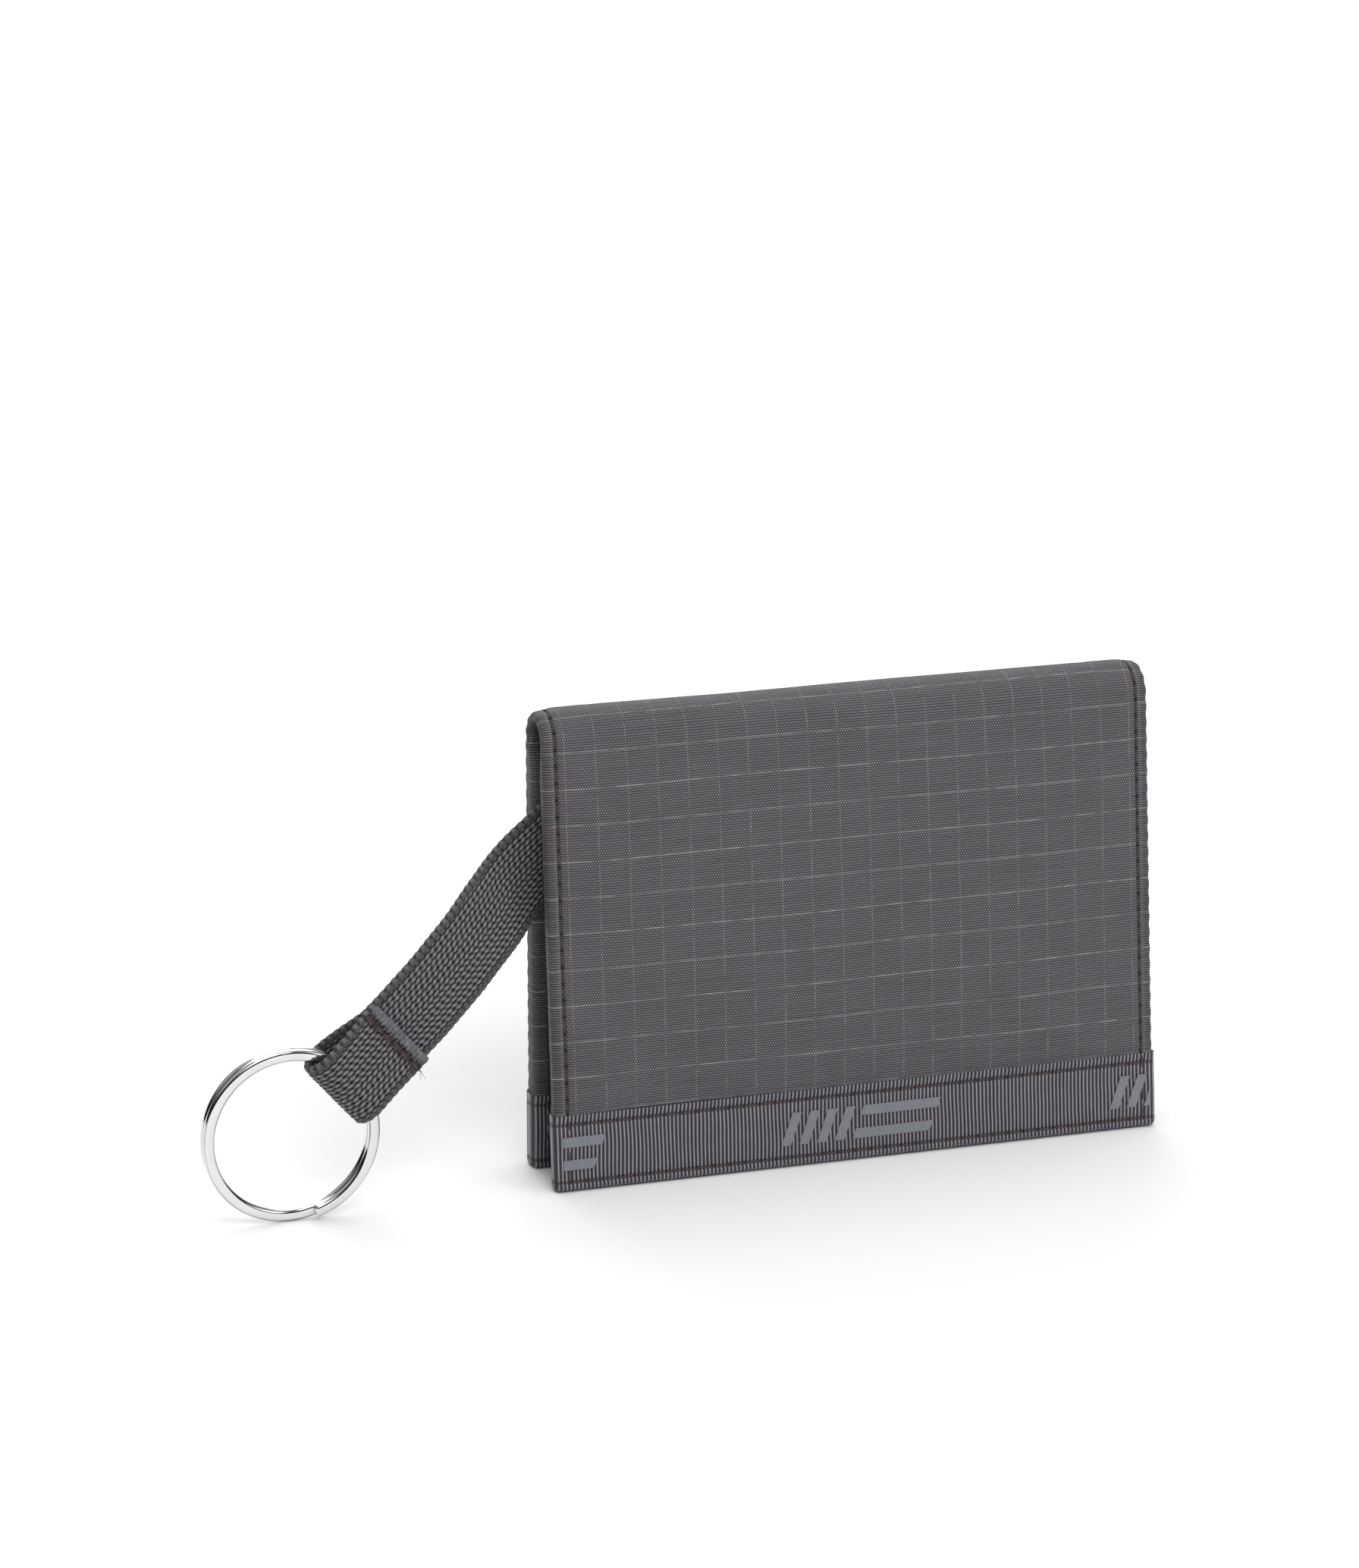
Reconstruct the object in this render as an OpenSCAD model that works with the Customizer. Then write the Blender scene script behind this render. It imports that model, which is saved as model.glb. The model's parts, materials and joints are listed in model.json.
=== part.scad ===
// Bifold card wallet in nylon cloth, standing on its two hems with the fold at the top.
// A webbing key strap comes out between the halves on the left and carries a split ring.
// Frame: X along the width, the front half faces -Y, +Z up, the hems stand on z = 0.
// The origin is the middle of the back half's foot.

/* [Wallet] */
// Width over the side edges
wallet_w = 108; // [95:1:120]
// Height of the fold's crest above the hems
wallet_h = 80.4; // [76:0.2:86]
// Width over the two halves just under the fold
fold_w = 10; // [9.6:0.2:12]
// How far the front half leans out as the wallet stands
lean = 5.4; // [4.5:0.1:9]

/* [Cloth layers] */
// Thickness of the outer ripstop cloth
shell_t = 0.45; // [0.4:0.05:0.5]
// Thickness of the soft interlining in the back half
back_pad_t = 0.6; // [0.4:0.1:0.7]
// Thickness of the soft interlining in the front half
front_pad_t = 0.45; // [0.3:0.05:0.6]
// Thickness of the lining cloth
lining_t = 0.35; // [0.3:0.05:0.4]
// Thickness of a pocket sheet, two cloths sewn together
sheet_t = 0.4; // [0.3:0.05:0.45]
// Room for cards behind each pocket sheet
slot_t = 0.9; // [0.8:0.05:1]
// Width of the side and foot seams that close the pockets
seam_w = 2.7; // [2:0.1:4]
// Height of the note pocket's mouth
note_mouth_z = 74.4; // [73:0.2:75]
// Height of the slip pocket's mouth
slip_mouth_z = 69.6; // [68:0.2:71]
// Height of the bound edge along a pocket's mouth
trim_h = 3.4; // [2:0.2:3.6]

/* [Window] */
// Width of the clear window
window_w = 74; // [50:1:80]
// Height of the clear window
window_h = 46; // [30:1:48]
// Thickness of the clear film
film_t = 0.2; // [0.15:0.05:0.3]

/* [Hem tape] */
// Height of the grosgrain tape on each hem
tape_h = 13; // [10:0.5:16]
// Thickness of the tape
tape_t = 0.5; // [0.4:0.05:0.6]
// Distance from one printed group to the next
print_pitch = 60; // [50:1:70]
// Height of a printed bar
print_h = 5.6; // [4:0.2:7]

/* [Strap and ring] */
// Width of the webbing
strap_w = 14; // [12:0.1:14.2]
// Thickness of the webbing
strap_t = 1.35; // [1.1:0.05:1.4]
// Slope of the strap below the horizontal, across the wallet's face
strap_slope = 40.9; // [38:0.1:44]
// Height at which the strap's middle crosses the side edge
strap_exit_z = 54.45; // [54.45:0.05:57]
// Outside radius of the split ring
ring_r = 15; // [14:0.1:15]
// Width of the ring's wire, measured along a radius
wire_w = 2; // [1.6:0.1:2]
// Thickness of the two coils together
wire_t = 2.8; // [2:0.1:3]

/* [Hidden] */
$fn = 96;

cloth_grey = [0.39, 0.38, 0.39];
lining_grey = [0.30, 0.29, 0.30];
tape_grey = [0.36, 0.34, 0.38];
print_grey = [0.30, 0.31, 0.33];
thread_brown = [0.27, 0.21, 0.22];
pad_white = [0.85, 0.85, 0.83];

// depth of each layer below the outer face, in the back half and in the front half
back_lining_d = shell_t + back_pad_t;
note_d = back_lining_d + lining_t + slot_t;
slip_d = note_d + sheet_t + slot_t;
back_stack = slip_d + sheet_t;
front_lining_d = shell_t + front_pad_t;
id_d = front_lining_d + lining_t + slot_t + film_t;
front_stack = id_d + sheet_t;
trim_t = 0.3;

// the origin is in the middle of the back half's thickness
back_face_y = back_stack / 2;
// the fold is a round arc about this line
fold_r = fold_w / 2;
fold_y = back_face_y - fold_r;
fold_z = wallet_h - fold_r;
// the arc turns by fold_turn; the fold bends on two lines, a quarter of it in from each end
fold_turn = 180 - lean;
hinge_turn = fold_turn / 4;
split_gap = 0.4;
// length of the front half below the arc's middle, so that its hem stands on the floor
front_inner_y = -fold_r + front_stack + tape_t;
front_drop = (fold_z - front_inner_y * sin(lean)) / cos(lean);
// the webbing's route, measured in its own frame: s along it, n towards the front
root_len = 9;
root_y = back_face_y - back_stack - strap_t / 2;
turn_r = 15;
turn_max = 30;
turn_end = -4;
sweep_len = 41.3;
sweep_r = sweep_len / (turn_max - turn_end) * 180 / PI;
flex_s = turn_r * sin(turn_max);
flex_n = turn_r * (1 - cos(turn_max));
bight_s = flex_s + sweep_r * (sin(turn_max) - sin(turn_end));
bight_n = flex_n + sweep_r * (cos(turn_end) - cos(turn_max));
// the loop round the ring
loop_clear_r = 2.6;
loop_len = 9.4;
lip_len = 2.5;
ring_drop = 13;

// ---- helpers ----
// a plate of the back half: depth below the outer face, thickness, half width, bottom and top
module back_plate(depth, t, half_w, z0, z1)
    translate([-half_w, back_face_y - depth - t, z0]) cube([2 * half_w, t, z1 - z0]);

// the front half is drawn upright about the fold's middle line, then leans out
module lean_front()
    translate([0, fold_y, fold_z]) rotate([-lean, 0, 0]) children();

module front_plate(depth, t, half_w, z0, z1)
    translate([-half_w, -fold_r + depth, z0 - front_drop]) cube([2 * half_w, t, z1 - z0]);

// a stretch of the fold's arc about the middle line, from angle a0 to a1 with 0 at the back
module at_fold() translate([0, fold_y, fold_z]) children();
module fold_arc(r_out, t, a0, a1)
    translate([-wallet_w / 2, 0, 0]) rotate([90, 0, 90])
        linear_extrude(wallet_w) intersection() {
            difference() { circle(r_out); circle(r_out - t); }
            polygon([[0, 0], for (i = [0 : 4]) 2 * r_out * [cos(a0 + (a1 - a0) * i / 4),
                                                              sin(a0 + (a1 - a0) * i / 4)]]);
        }

half_gap_a = split_gap / 2 / fold_r * 180 / PI;

// a printed group: one long bar and four slanted ones, drawn in the X-Z plane
bar_w = 1.7;
bar_step = 3.2;
bar_slant = 2.2;
long_bar = 14;
module print_group() {
    for (i = [0 : 3])
        polygon([[i * bar_step, 0], [i * bar_step + bar_w, 0],
                 [i * bar_step + bar_w + bar_slant, print_h], [i * bar_step + bar_slant, print_h]]);
    for (s = [0, print_h - bar_w])
        polygon([[4 * bar_step + s * bar_slant / print_h, s],
                 [4 * bar_step + long_bar + s * bar_slant / print_h, s],
                 [4 * bar_step + long_bar + (s + bar_w) * bar_slant / print_h, s + bar_w],
                 [4 * bar_step + (s + bar_w) * bar_slant / print_h, s + bar_w]]);
}
print_t = 0.12;
group_w = 4 * bar_step + long_bar + bar_slant;
module print_strip()
    rotate([90, 0, 0]) linear_extrude(print_t) intersection() {
        for (k = [-1 : 1]) translate([k * print_pitch - group_w / 2, 0]) print_group();
        translate([-wallet_w / 2 + 1, -1]) square([wallet_w - 2, print_h + 2]);
    }

// a hem tape: folded round the foot and both side edges, drawn from its outer face inwards
module tape_trough(stack)
    difference() {
        translate([-wallet_w / 2 - tape_t, 0, 0])
            cube([wallet_w + 2 * tape_t, stack + 2 * tape_t, tape_h]);
        translate([-wallet_w / 2, tape_t, tape_t]) cube([wallet_w, stack, tape_h]);
    }

// strap frame: s runs down along the strap, n towards the front, w across the webbing
module strap_frame()
    translate([-wallet_w / 2, root_y, strap_exit_z])
        multmatrix([[-cos(strap_slope), 0, sin(strap_slope), 0],
                    [0, -1, 0, 0],
                    [-sin(strap_slope), 0, -cos(strap_slope), 0]])
            translate([0, 0, -strap_w / 2]) children();

function sweep_at(f) = let (a = turn_max + (turn_end - turn_max) * f)
    [flex_s + sweep_r * (sin(turn_max) - sin(a)), flex_n + sweep_r * (cos(a) - cos(turn_max)), a];
function side_of(p, d) = [p[0] - d * sin(p[2]), p[1] + d * cos(p[2])];
// share of the sweep at which the loop's two layers part
part_f = 1 - loop_len / sweep_len;
sweep_steps = 12;

// ---- back half ----
module shell_back() color(cloth_grey) union() {
    back_plate(0, shell_t, wallet_w / 2, tape_t, fold_z);
    at_fold() fold_arc(fold_r, shell_t, 0, hinge_turn - half_gap_a);
}
module interlining_back() color(pad_white)
    back_plate(shell_t, back_pad_t, wallet_w / 2 - seam_w, tape_t + seam_w, fold_z);
module lining_back() color(lining_grey)
    back_plate(back_lining_d, lining_t, wallet_w / 2 - seam_w, tape_t + seam_w, fold_z);
module note_pocket() color(cloth_grey)
    back_plate(note_d, sheet_t, wallet_w / 2 - seam_w, tape_t + seam_w, note_mouth_z);
module note_pocket_trim() color(tape_grey)
    back_plate(note_d + sheet_t, trim_t, wallet_w / 2 - seam_w, note_mouth_z - trim_h, note_mouth_z);
module slip_pocket() color(cloth_grey)
    back_plate(slip_d, sheet_t, wallet_w / 2 - seam_w, tape_t + seam_w, slip_mouth_z);
module slip_pocket_trim() color(tape_grey)
    back_plate(slip_d + sheet_t, trim_t, wallet_w / 2 - seam_w, slip_mouth_z - trim_h, slip_mouth_z);
// the turned side edge with the pocket edges caught in it
module side_seam_back() color(cloth_grey)
    translate([0, back_face_y - back_stack, tape_t])
        cube([seam_w, back_stack - shell_t, fold_z - tape_t]);
module side_seam_back_left() translate([-wallet_w / 2, 0, 0]) side_seam_back();
module side_seam_back_right() translate([wallet_w / 2 - seam_w, 0, 0]) side_seam_back();
module foot_seam_back() color(cloth_grey)
    back_plate(shell_t, back_stack - shell_t, wallet_w / 2 - seam_w, tape_t, tape_t + seam_w);
module hem_tape_back() color(tape_grey)
    translate([0, back_face_y + tape_t, 0]) mirror([0, 1, 0]) tape_trough(back_stack);
module hem_print_back() color(print_grey)
    translate([0, back_face_y + tape_t, (tape_h - print_h) / 2]) mirror([0, 1, 0]) print_strip();
// the end of the webbing that is sewn on the slip pocket, and its bend out past the side edge
root_end_gap = 1;
root_turn = turn_max - root_end_gap / turn_r * 180 / PI;
module strap_root() color(cloth_grey) strap_frame() linear_extrude(strap_w)
    polygon(concat(
        [[-root_len, -strap_t / 2]],
        [for (i = [0 : 6]) let (a = root_turn * i / 6) side_of([turn_r * sin(a), turn_r * (1 - cos(a)), a],
                                                          -strap_t / 2)],
        [for (i = [6 : -1 : 0]) let (a = root_turn * i / 6) side_of([turn_r * sin(a), turn_r * (1 - cos(a)), a],
                                                               strap_t / 2)],
        [[-root_len, strap_t / 2]]));
stitch_t = 0.25;
stitch_w = 1;
module strap_root_stitches() color(thread_brown) strap_frame()
    for (s = [-root_len + 1.2, -3.2])
        translate([s, strap_t / 2, 1.2]) cube([stitch_w, stitch_t, strap_w - 2.4]);

// ---- fold ----
module shell_spine() color(cloth_grey) at_fold()
    fold_arc(fold_r, shell_t, hinge_turn + half_gap_a, 3 * hinge_turn - half_gap_a);
module lining_spine() color(lining_grey) at_fold()
    fold_arc(fold_r - shell_t, lining_t, hinge_turn + half_gap_a, 3 * hinge_turn - half_gap_a);

// ---- front half ----
module shell_front() color(cloth_grey) lean_front() union() {
    front_plate(0, shell_t, wallet_w / 2, tape_t, front_drop);
    fold_arc(fold_r, shell_t, 180 - hinge_turn + half_gap_a, 180);
}
module interlining_front() color(pad_white) lean_front()
    front_plate(shell_t, front_pad_t, wallet_w / 2 - seam_w, tape_t + seam_w, front_drop);
module lining_front() color(lining_grey) lean_front()
    front_plate(front_lining_d, lining_t, wallet_w / 2 - seam_w, tape_t + seam_w, front_drop);
window_z = tape_h + 5;
module id_panel() color(cloth_grey) lean_front() difference() {
    front_plate(id_d, sheet_t, wallet_w / 2 - seam_w, tape_t + seam_w, slip_mouth_z);
    front_plate(id_d - 1, sheet_t + 2, window_w / 2, window_z, window_z + window_h);
}
film_lap = 3;
module id_window() color([0.8, 0.82, 0.85, 0.35]) lean_front()
    front_plate(id_d - film_t, film_t, window_w / 2 + film_lap, window_z - film_lap,
                window_z + window_h + film_lap);
module id_panel_trim() color(tape_grey) lean_front()
    front_plate(front_stack, trim_t, wallet_w / 2 - seam_w, slip_mouth_z - trim_h, slip_mouth_z);
module side_seam_front() color(cloth_grey)
    translate([0, -fold_r + shell_t, tape_t - front_drop])
        cube([seam_w, front_stack - shell_t, front_drop - tape_t]);
module side_seam_front_left() lean_front() translate([-wallet_w / 2, 0, 0]) side_seam_front();
module side_seam_front_right() lean_front() translate([wallet_w / 2 - seam_w, 0, 0]) side_seam_front();
module foot_seam_front() color(cloth_grey) lean_front()
    front_plate(shell_t, front_stack - shell_t, wallet_w / 2 - seam_w, tape_t, tape_t + seam_w);
module hem_tape_front() color(tape_grey) lean_front()
    translate([0, -fold_r - tape_t, -front_drop]) tape_trough(front_stack);
module hem_print_front() color(print_grey) lean_front()
    translate([0, -fold_r - tape_t, (tape_h - print_h) / 2 - front_drop]) print_strip();

// ---- key strap ----
part_p = sweep_at(part_f);
lip_f = part_f - lip_len / sweep_len;
bight = [bight_s, bight_n];
// where a line from a point meets the round of the loop; side is 1 at the back and -1 at the front
function touch_angle(r, p, side) =
    let (v = p - bight) (atan2(v[1], v[0]) + 360) % 360 + side * acos(r / norm(v));
// the drop-shaped outline of radius r round the ring's wire, from point low to point high
round_steps = 16;
function drop(r, low, high) =
    let (a0 = touch_angle(r, low, 1), a1 = 360 + touch_angle(r, high, -1))
    [for (i = [0 : round_steps]) let (a = a0 + (a1 - a0) * i / round_steps) bight + r * [cos(a), sin(a)]];
// the two layers close on each other just before the stitches
loop_tip = side_of(sweep_at(part_f + 1 / sweep_len), strap_t / 2);
// the strap starts in a half-round end about its bending line
round_end = [for (i = [1 : 5]) [flex_s, flex_n]
             + strap_t / 2 * [cos(turn_max + 90 + 30 * i), sin(turn_max + 90 + 30 * i)]];
module key_strap() color(cloth_grey) strap_frame() linear_extrude(strap_w) difference() {
    polygon(concat(
        round_end,
        [for (i = [0 : sweep_steps]) side_of(sweep_at(part_f * i / sweep_steps), -strap_t / 2)],
        drop(loop_clear_r + strap_t, side_of(part_p, -strap_t / 2), side_of(part_p, 1.5 * strap_t)),
        [side_of(part_p, 1.5 * strap_t), side_of(sweep_at(lip_f), 1.5 * strap_t)],
        [for (i = [sweep_steps : -1 : 0]) side_of(sweep_at(lip_f * i / sweep_steps), strap_t / 2)]));
    polygon(concat(drop(loop_clear_r, loop_tip, loop_tip), [loop_tip]));
}
module strap_loop_stitches() color(thread_brown) strap_frame()
    translate([part_p[0], part_p[1], 0.6]) rotate(part_p[2])
        translate([-stitch_w, 1.5 * strap_t, 0]) cube([stitch_w, stitch_t, strap_w - 1.2]);

// ---- ring ----
// two flat coils of wire; the outline is one coil's section with rounded corners
corner_r = 0.35;
function coil_corner(cx, cy, a0) = [for (i = [0 : 3]) [cx, cy] + corner_r * [cos(a0 + 30 * i), sin(a0 + 30 * i)]];
module coil_section() {
    x0 = ring_r - wire_w + corner_r;
    x1 = ring_r - corner_r;
    y1 = wire_t / 2 - corner_r;
    polygon(concat(coil_corner(x1, y1, 0), coil_corner(x0, y1, 90),
                   [[ring_r - wire_w, 0.2], [ring_r - wire_w + 0.2, 0], [ring_r - 0.2, 0], [ring_r, 0.2]]));
}
module split_ring() color([0.8, 0.8, 0.82]) strap_frame()
    translate([bight_s + ring_drop, bight_n, strap_w / 2]) rotate([90, 0, 0])
        union() {
            rotate_extrude() coil_section();
            rotate_extrude() mirror([0, 1]) coil_section();
        }

shell_back();
interlining_back();
lining_back();
note_pocket();
note_pocket_trim();
slip_pocket();
slip_pocket_trim();
side_seam_back_left();
side_seam_back_right();
foot_seam_back();
hem_tape_back();
hem_print_back();
strap_root();
strap_root_stitches();
shell_spine();
lining_spine();
shell_front();
interlining_front();
lining_front();
id_panel();
id_window();
id_panel_trim();
side_seam_front_left();
side_seam_front_right();
foot_seam_front();
hem_tape_front();
hem_print_front();
key_strap();
strap_loop_stitches();
split_ring();
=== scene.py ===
import json
import math
import random

import bmesh
import bpy
from mathutils import Matrix, Vector, noise


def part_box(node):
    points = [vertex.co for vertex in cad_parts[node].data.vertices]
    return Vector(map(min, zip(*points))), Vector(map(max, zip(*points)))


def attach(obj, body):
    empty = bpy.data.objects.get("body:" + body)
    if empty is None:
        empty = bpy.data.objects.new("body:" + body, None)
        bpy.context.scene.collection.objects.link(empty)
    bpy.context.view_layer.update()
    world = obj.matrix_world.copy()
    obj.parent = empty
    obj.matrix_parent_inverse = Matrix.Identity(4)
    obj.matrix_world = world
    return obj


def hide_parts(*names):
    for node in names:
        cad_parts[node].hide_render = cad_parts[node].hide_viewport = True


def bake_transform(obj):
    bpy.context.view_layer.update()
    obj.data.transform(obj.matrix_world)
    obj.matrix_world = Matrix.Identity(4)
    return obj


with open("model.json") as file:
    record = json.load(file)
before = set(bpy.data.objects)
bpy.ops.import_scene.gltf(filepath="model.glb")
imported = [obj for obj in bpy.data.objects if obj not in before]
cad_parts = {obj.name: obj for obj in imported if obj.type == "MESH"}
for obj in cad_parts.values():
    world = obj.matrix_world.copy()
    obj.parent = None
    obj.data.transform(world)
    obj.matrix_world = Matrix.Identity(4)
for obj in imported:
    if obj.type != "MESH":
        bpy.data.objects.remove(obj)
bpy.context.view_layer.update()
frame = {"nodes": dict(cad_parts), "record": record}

MM = 0.001
scene = bpy.context.scene
joints = {joint["name"]: joint for joint in frame["record"]["behaviour"]["joints"]}


# ---- Camera, floor and studio light ----
# The wallet stands on a white table and is seen a little from the left and from above,
# through a long lens. Large soft lamps and a pale sky light it evenly.
VIEW_AZIMUTH = math.radians(18.6)
VIEW_DOWN = math.radians(15.65)
VIEW_DISTANCE = 0.933
AIM = Vector((-0.0246, 0.0086, 0.0622))
LENS_MM = 126.4


def aimed(obj, place, target):
    obj.location = place
    obj.rotation_mode = "QUATERNION"
    obj.rotation_quaternion = (target - place).to_track_quat("-Z", "Y")
    scene.collection.objects.link(obj)
    return obj


look = Vector((math.sin(VIEW_AZIMUTH) * math.cos(VIEW_DOWN),
               math.cos(VIEW_AZIMUTH) * math.cos(VIEW_DOWN), -math.sin(VIEW_DOWN)))
camera_data = bpy.data.cameras.new("camera")
camera_data.lens = LENS_MM
camera_data.sensor_width = 36
camera_data.clip_start = 0.01
scene.camera = aimed(bpy.data.objects.new("camera", camera_data), AIM - look * VIEW_DISTANCE, AIM)


def wire(tree, kind, *sources, **settings):
    """A shader node with its settings, its inputs linked or set in order; gives its first output."""
    made = tree.nodes.new("ShaderNode" + kind)
    for key, value in settings.items():
        setattr(made, key, value)
    for socket, source in zip(made.inputs, sources):
        if isinstance(source, bpy.types.NodeSocket):
            tree.links.new(source, socket)
        elif source is not None:
            socket.default_value = source
    return made.outputs[0]


def calc(tree, operation, *terms):
    return wire(tree, "Math", *terms, operation=operation)


def blend_colours(tree, share, low, high):
    mix = tree.nodes.new("ShaderNodeMix")
    mix.data_type = "RGBA"
    for socket, source in ((mix.inputs[0], share), (mix.inputs[6], low), (mix.inputs[7], high)):
        if isinstance(source, bpy.types.NodeSocket):
            tree.links.new(source, socket)
        else:
            socket.default_value = source
    return mix.outputs[2]


def finish_called(name, roughness, specular=0.35, sheen=0.0, metallic=0.0):
    """A new material with its plain values set; gives the material, its tree and its shader."""
    material = bpy.data.materials.new(name)
    material.use_nodes = True
    shader = material.node_tree.nodes["Principled BSDF"]
    shader.inputs["Roughness"].default_value = roughness
    shader.inputs["Specular IOR Level"].default_value = specular
    shader.inputs["Sheen Weight"].default_value = sheen
    shader.inputs["Sheen Roughness"].default_value = 0.4
    shader.inputs["Metallic"].default_value = metallic
    return material, material.node_tree, shader


def raise_surface(tree, shader, height, distance, strength=1.0):
    bump = tree.nodes.new("ShaderNodeBump")
    bump.inputs["Strength"].default_value = strength
    bump.inputs["Distance"].default_value = distance
    tree.links.new(height, bump.inputs["Height"])
    tree.links.new(bump.outputs[0], shader.inputs["Normal"])


def grey(red, green, blue):
    """A colour given as it looks on a screen, 0 to 255."""
    return (*((channel / 255) ** 2.2 for channel in (red, green, blue)), 1.0)


def object_place(tree):
    """The place on the piece, in metres."""
    return tree.nodes.new("ShaderNodeTexCoord").outputs["Object"]


def colour_with(tree, shader, share, low, high):
    tree.links.new(blend_colours(tree, share, low, high), shader.inputs["Base Color"])


FLOOR_HALF = 3.0
floor_mesh = bpy.data.meshes.new("table_top")
work = bmesh.new()
bmesh.ops.create_grid(work, x_segments=4, y_segments=4, size=FLOOR_HALF)
work.to_mesh(floor_mesh)
work.free()
table_top = bpy.data.objects.new("table_top", floor_mesh)
scene.collection.objects.link(table_top)
material, tree, shader = finish_called("white_table", roughness=0.9, specular=0.1)
shader.inputs["Base Color"].default_value = (0.93, 0.93, 0.93, 1)
floor_mesh.materials.append(material)

for name, place, size, watts in (
    ("key_lamp", (-0.15, -1.6, 1.5), 1.2, 19.5),
    ("fill_lamp", (1.1, -1.3, 0.9), 1.0, 8.8),
    ("top_lamp", (0.1, 0.35, 1.7), 1.5, 13.5),
    ("rear_lamp", (0.2, 1.9, 1.2), 1.5, 17.0),
):
    lamp_data = bpy.data.lights.new(name, "AREA")
    lamp_data.size = size
    lamp_data.energy = watts
    aimed(bpy.data.objects.new(name, lamp_data), Vector(place), Vector((0, 0, 0.03)))
world = bpy.data.worlds.new("studio")
world.use_nodes = True
tree = world.node_tree
coordinates = tree.nodes.new("ShaderNodeTexCoord")
split = tree.nodes.new("ShaderNodeSeparateXYZ")
tree.links.new(coordinates.outputs["Generated"], split.inputs[0])
height = wire(tree, "MapRange", split.outputs[2], 0.25, 0.62, 0.0, 1.0, interpolation_type="SMOOTHSTEP")
tree.links.new(blend_colours(tree, height, (0.03, 0.03, 0.033, 1), (1.0, 1.0, 1.0, 1)),
               tree.nodes["Background"].inputs["Color"])
tree.nodes["Background"].inputs["Strength"].default_value = 0.45
scene.world = world
scene.view_settings.view_transform = "Standard"


# ---- Outer cloth ----
# One sheet of grey ripstop nylon covers both halves and the fold between them. Its side edges
# are turned in over the pockets and topstitched, and its feet are caught in the hem tapes.
back_low, back_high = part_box("shell_back")
HALF_W = back_high.x
FOLD_R = 5 * MM
LEAN = math.radians(5.4)
MID_Y = back_high.y - FOLD_R
MID_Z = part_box("shell_spine")[1].z - FOLD_R
BACK_STACK = 4.0 * MM
FOLD_STACK = 1.5 * MM
FRONT_STACK = 2.75 * MM
TAPE_T = 0.5 * MM
TAPE_H = 13 * MM
V_FRONT = MID_Z + FOLD_R * (math.pi - LEAN)
V_MIDDLE = (MID_Z + V_FRONT) / 2
V_END = V_FRONT + (MID_Z + (FOLD_R - FRONT_STACK - TAPE_T) * math.sin(LEAN)) / math.cos(LEAN)
EDGE_R = 0.9 * MM
SEAM_IN = 2.2 * MM
SEAM_X = HALF_W - SEAM_IN
TURN_IN = 2.9 * MM
HEM_ROW = 1.6 * MM
SIDE_STITCHES = round((V_END - 2 * HEM_ROW) / (2.8 * MM))
STITCH_PITCH = (V_END - 2 * HEM_ROW) / SIDE_STITCHES
CLOTH_T = 0.35 * MM


def at(x, v, depth=0.0):
    """The point x along the width and v up the back half, over the fold and down the front half,
    depth below the outer face."""
    turn = min(max((v - MID_Z) / FOLD_R, 0.0), math.pi - LEAN)
    run = v - MID_Z - turn * FOLD_R
    reach = FOLD_R - depth
    return Vector((x, MID_Y + reach * math.cos(turn) - run * math.sin(turn),
                   MID_Z + reach * math.sin(turn) + run * math.cos(turn)))


def smooth(low, high, value):
    t = min(max((value - low) / (high - low), 0.0), 1.0)
    return t * t * (3 - 2 * t)


def stack_at(v):
    """How thick the cloths lie at v: the back half, thin over the fold, then the front half."""
    leaving = smooth(MID_Z - 6 * MM, MID_Z + 1 * MM, v)
    joining = smooth(V_FRONT - 1 * MM, V_FRONT + 6 * MM, v)
    return BACK_STACK + (FOLD_STACK - BACK_STACK) * leaving + (FRONT_STACK - FOLD_STACK) * joining


def corner_drop(x, v):
    """The fold sinks a little at its two ends, where the turned side seams make it stiff."""
    near_fold = smooth(MID_Z - 3 * MM, MID_Z + 4 * MM, v) * smooth(V_FRONT + 3 * MM, V_FRONT - 4 * MM, v)
    return 0.40 * MM * near_fold * smooth(SEAM_X - 0.8 * MM, HALF_W, abs(x))


def spaced(start, stop, step):
    count = max(1, round(abs(stop - start) / step))
    return [start + (stop - start) * i / count for i in range(count)]


def grid_mesh(name, columns, rows, place, flip=True):
    """A flat grid of columns by rows points, laid where place(column, row) says. place gives the
    point, its place on the flat cloth in millimetres, and how high it stands in the weave."""
    work = bmesh.new()
    bmesh.ops.create_grid(work, x_segments=columns - 1, y_segments=rows - 1, size=0.5)
    lift = work.verts.layers.float.new("lift")
    flat = {}
    for vert in work.verts:
        column = round((vert.co.x + 0.5) * (columns - 1))
        row = round((vert.co.y + 0.5) * (rows - 1))
        vert.co, flat[vert], vert[lift] = place(column, row)
    layer = work.loops.layers.uv.new("weave")
    for face in work.faces:
        face.smooth = True
        for loop in face.loops:
            loop[layer].uv = flat[loop.vert]
    if flip:
        bmesh.ops.reverse_faces(work, faces=work.faces)
    return work


def object_from(work, name, material):
    mesh = bpy.data.meshes.new(name)
    work.to_mesh(mesh)
    work.free()
    obj = bpy.data.objects.new(name, mesh)
    scene.collection.objects.link(obj)
    mesh.materials.append(material)
    return obj


def thicken(obj, thickness, offset=-1.0):
    solid = obj.modifiers.new("thickness", "SOLIDIFY")
    solid.thickness = thickness
    solid.offset = offset
    solid.use_even_offset = False
    return obj


def settle(obj):
    """Applies the modifiers, so that the mesh is final."""
    graph = bpy.context.evaluated_depsgraph_get()
    mesh = bpy.data.meshes.new_from_object(obj.evaluated_get(graph))
    obj.modifiers.clear()
    obj.data = mesh
    return obj


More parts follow.
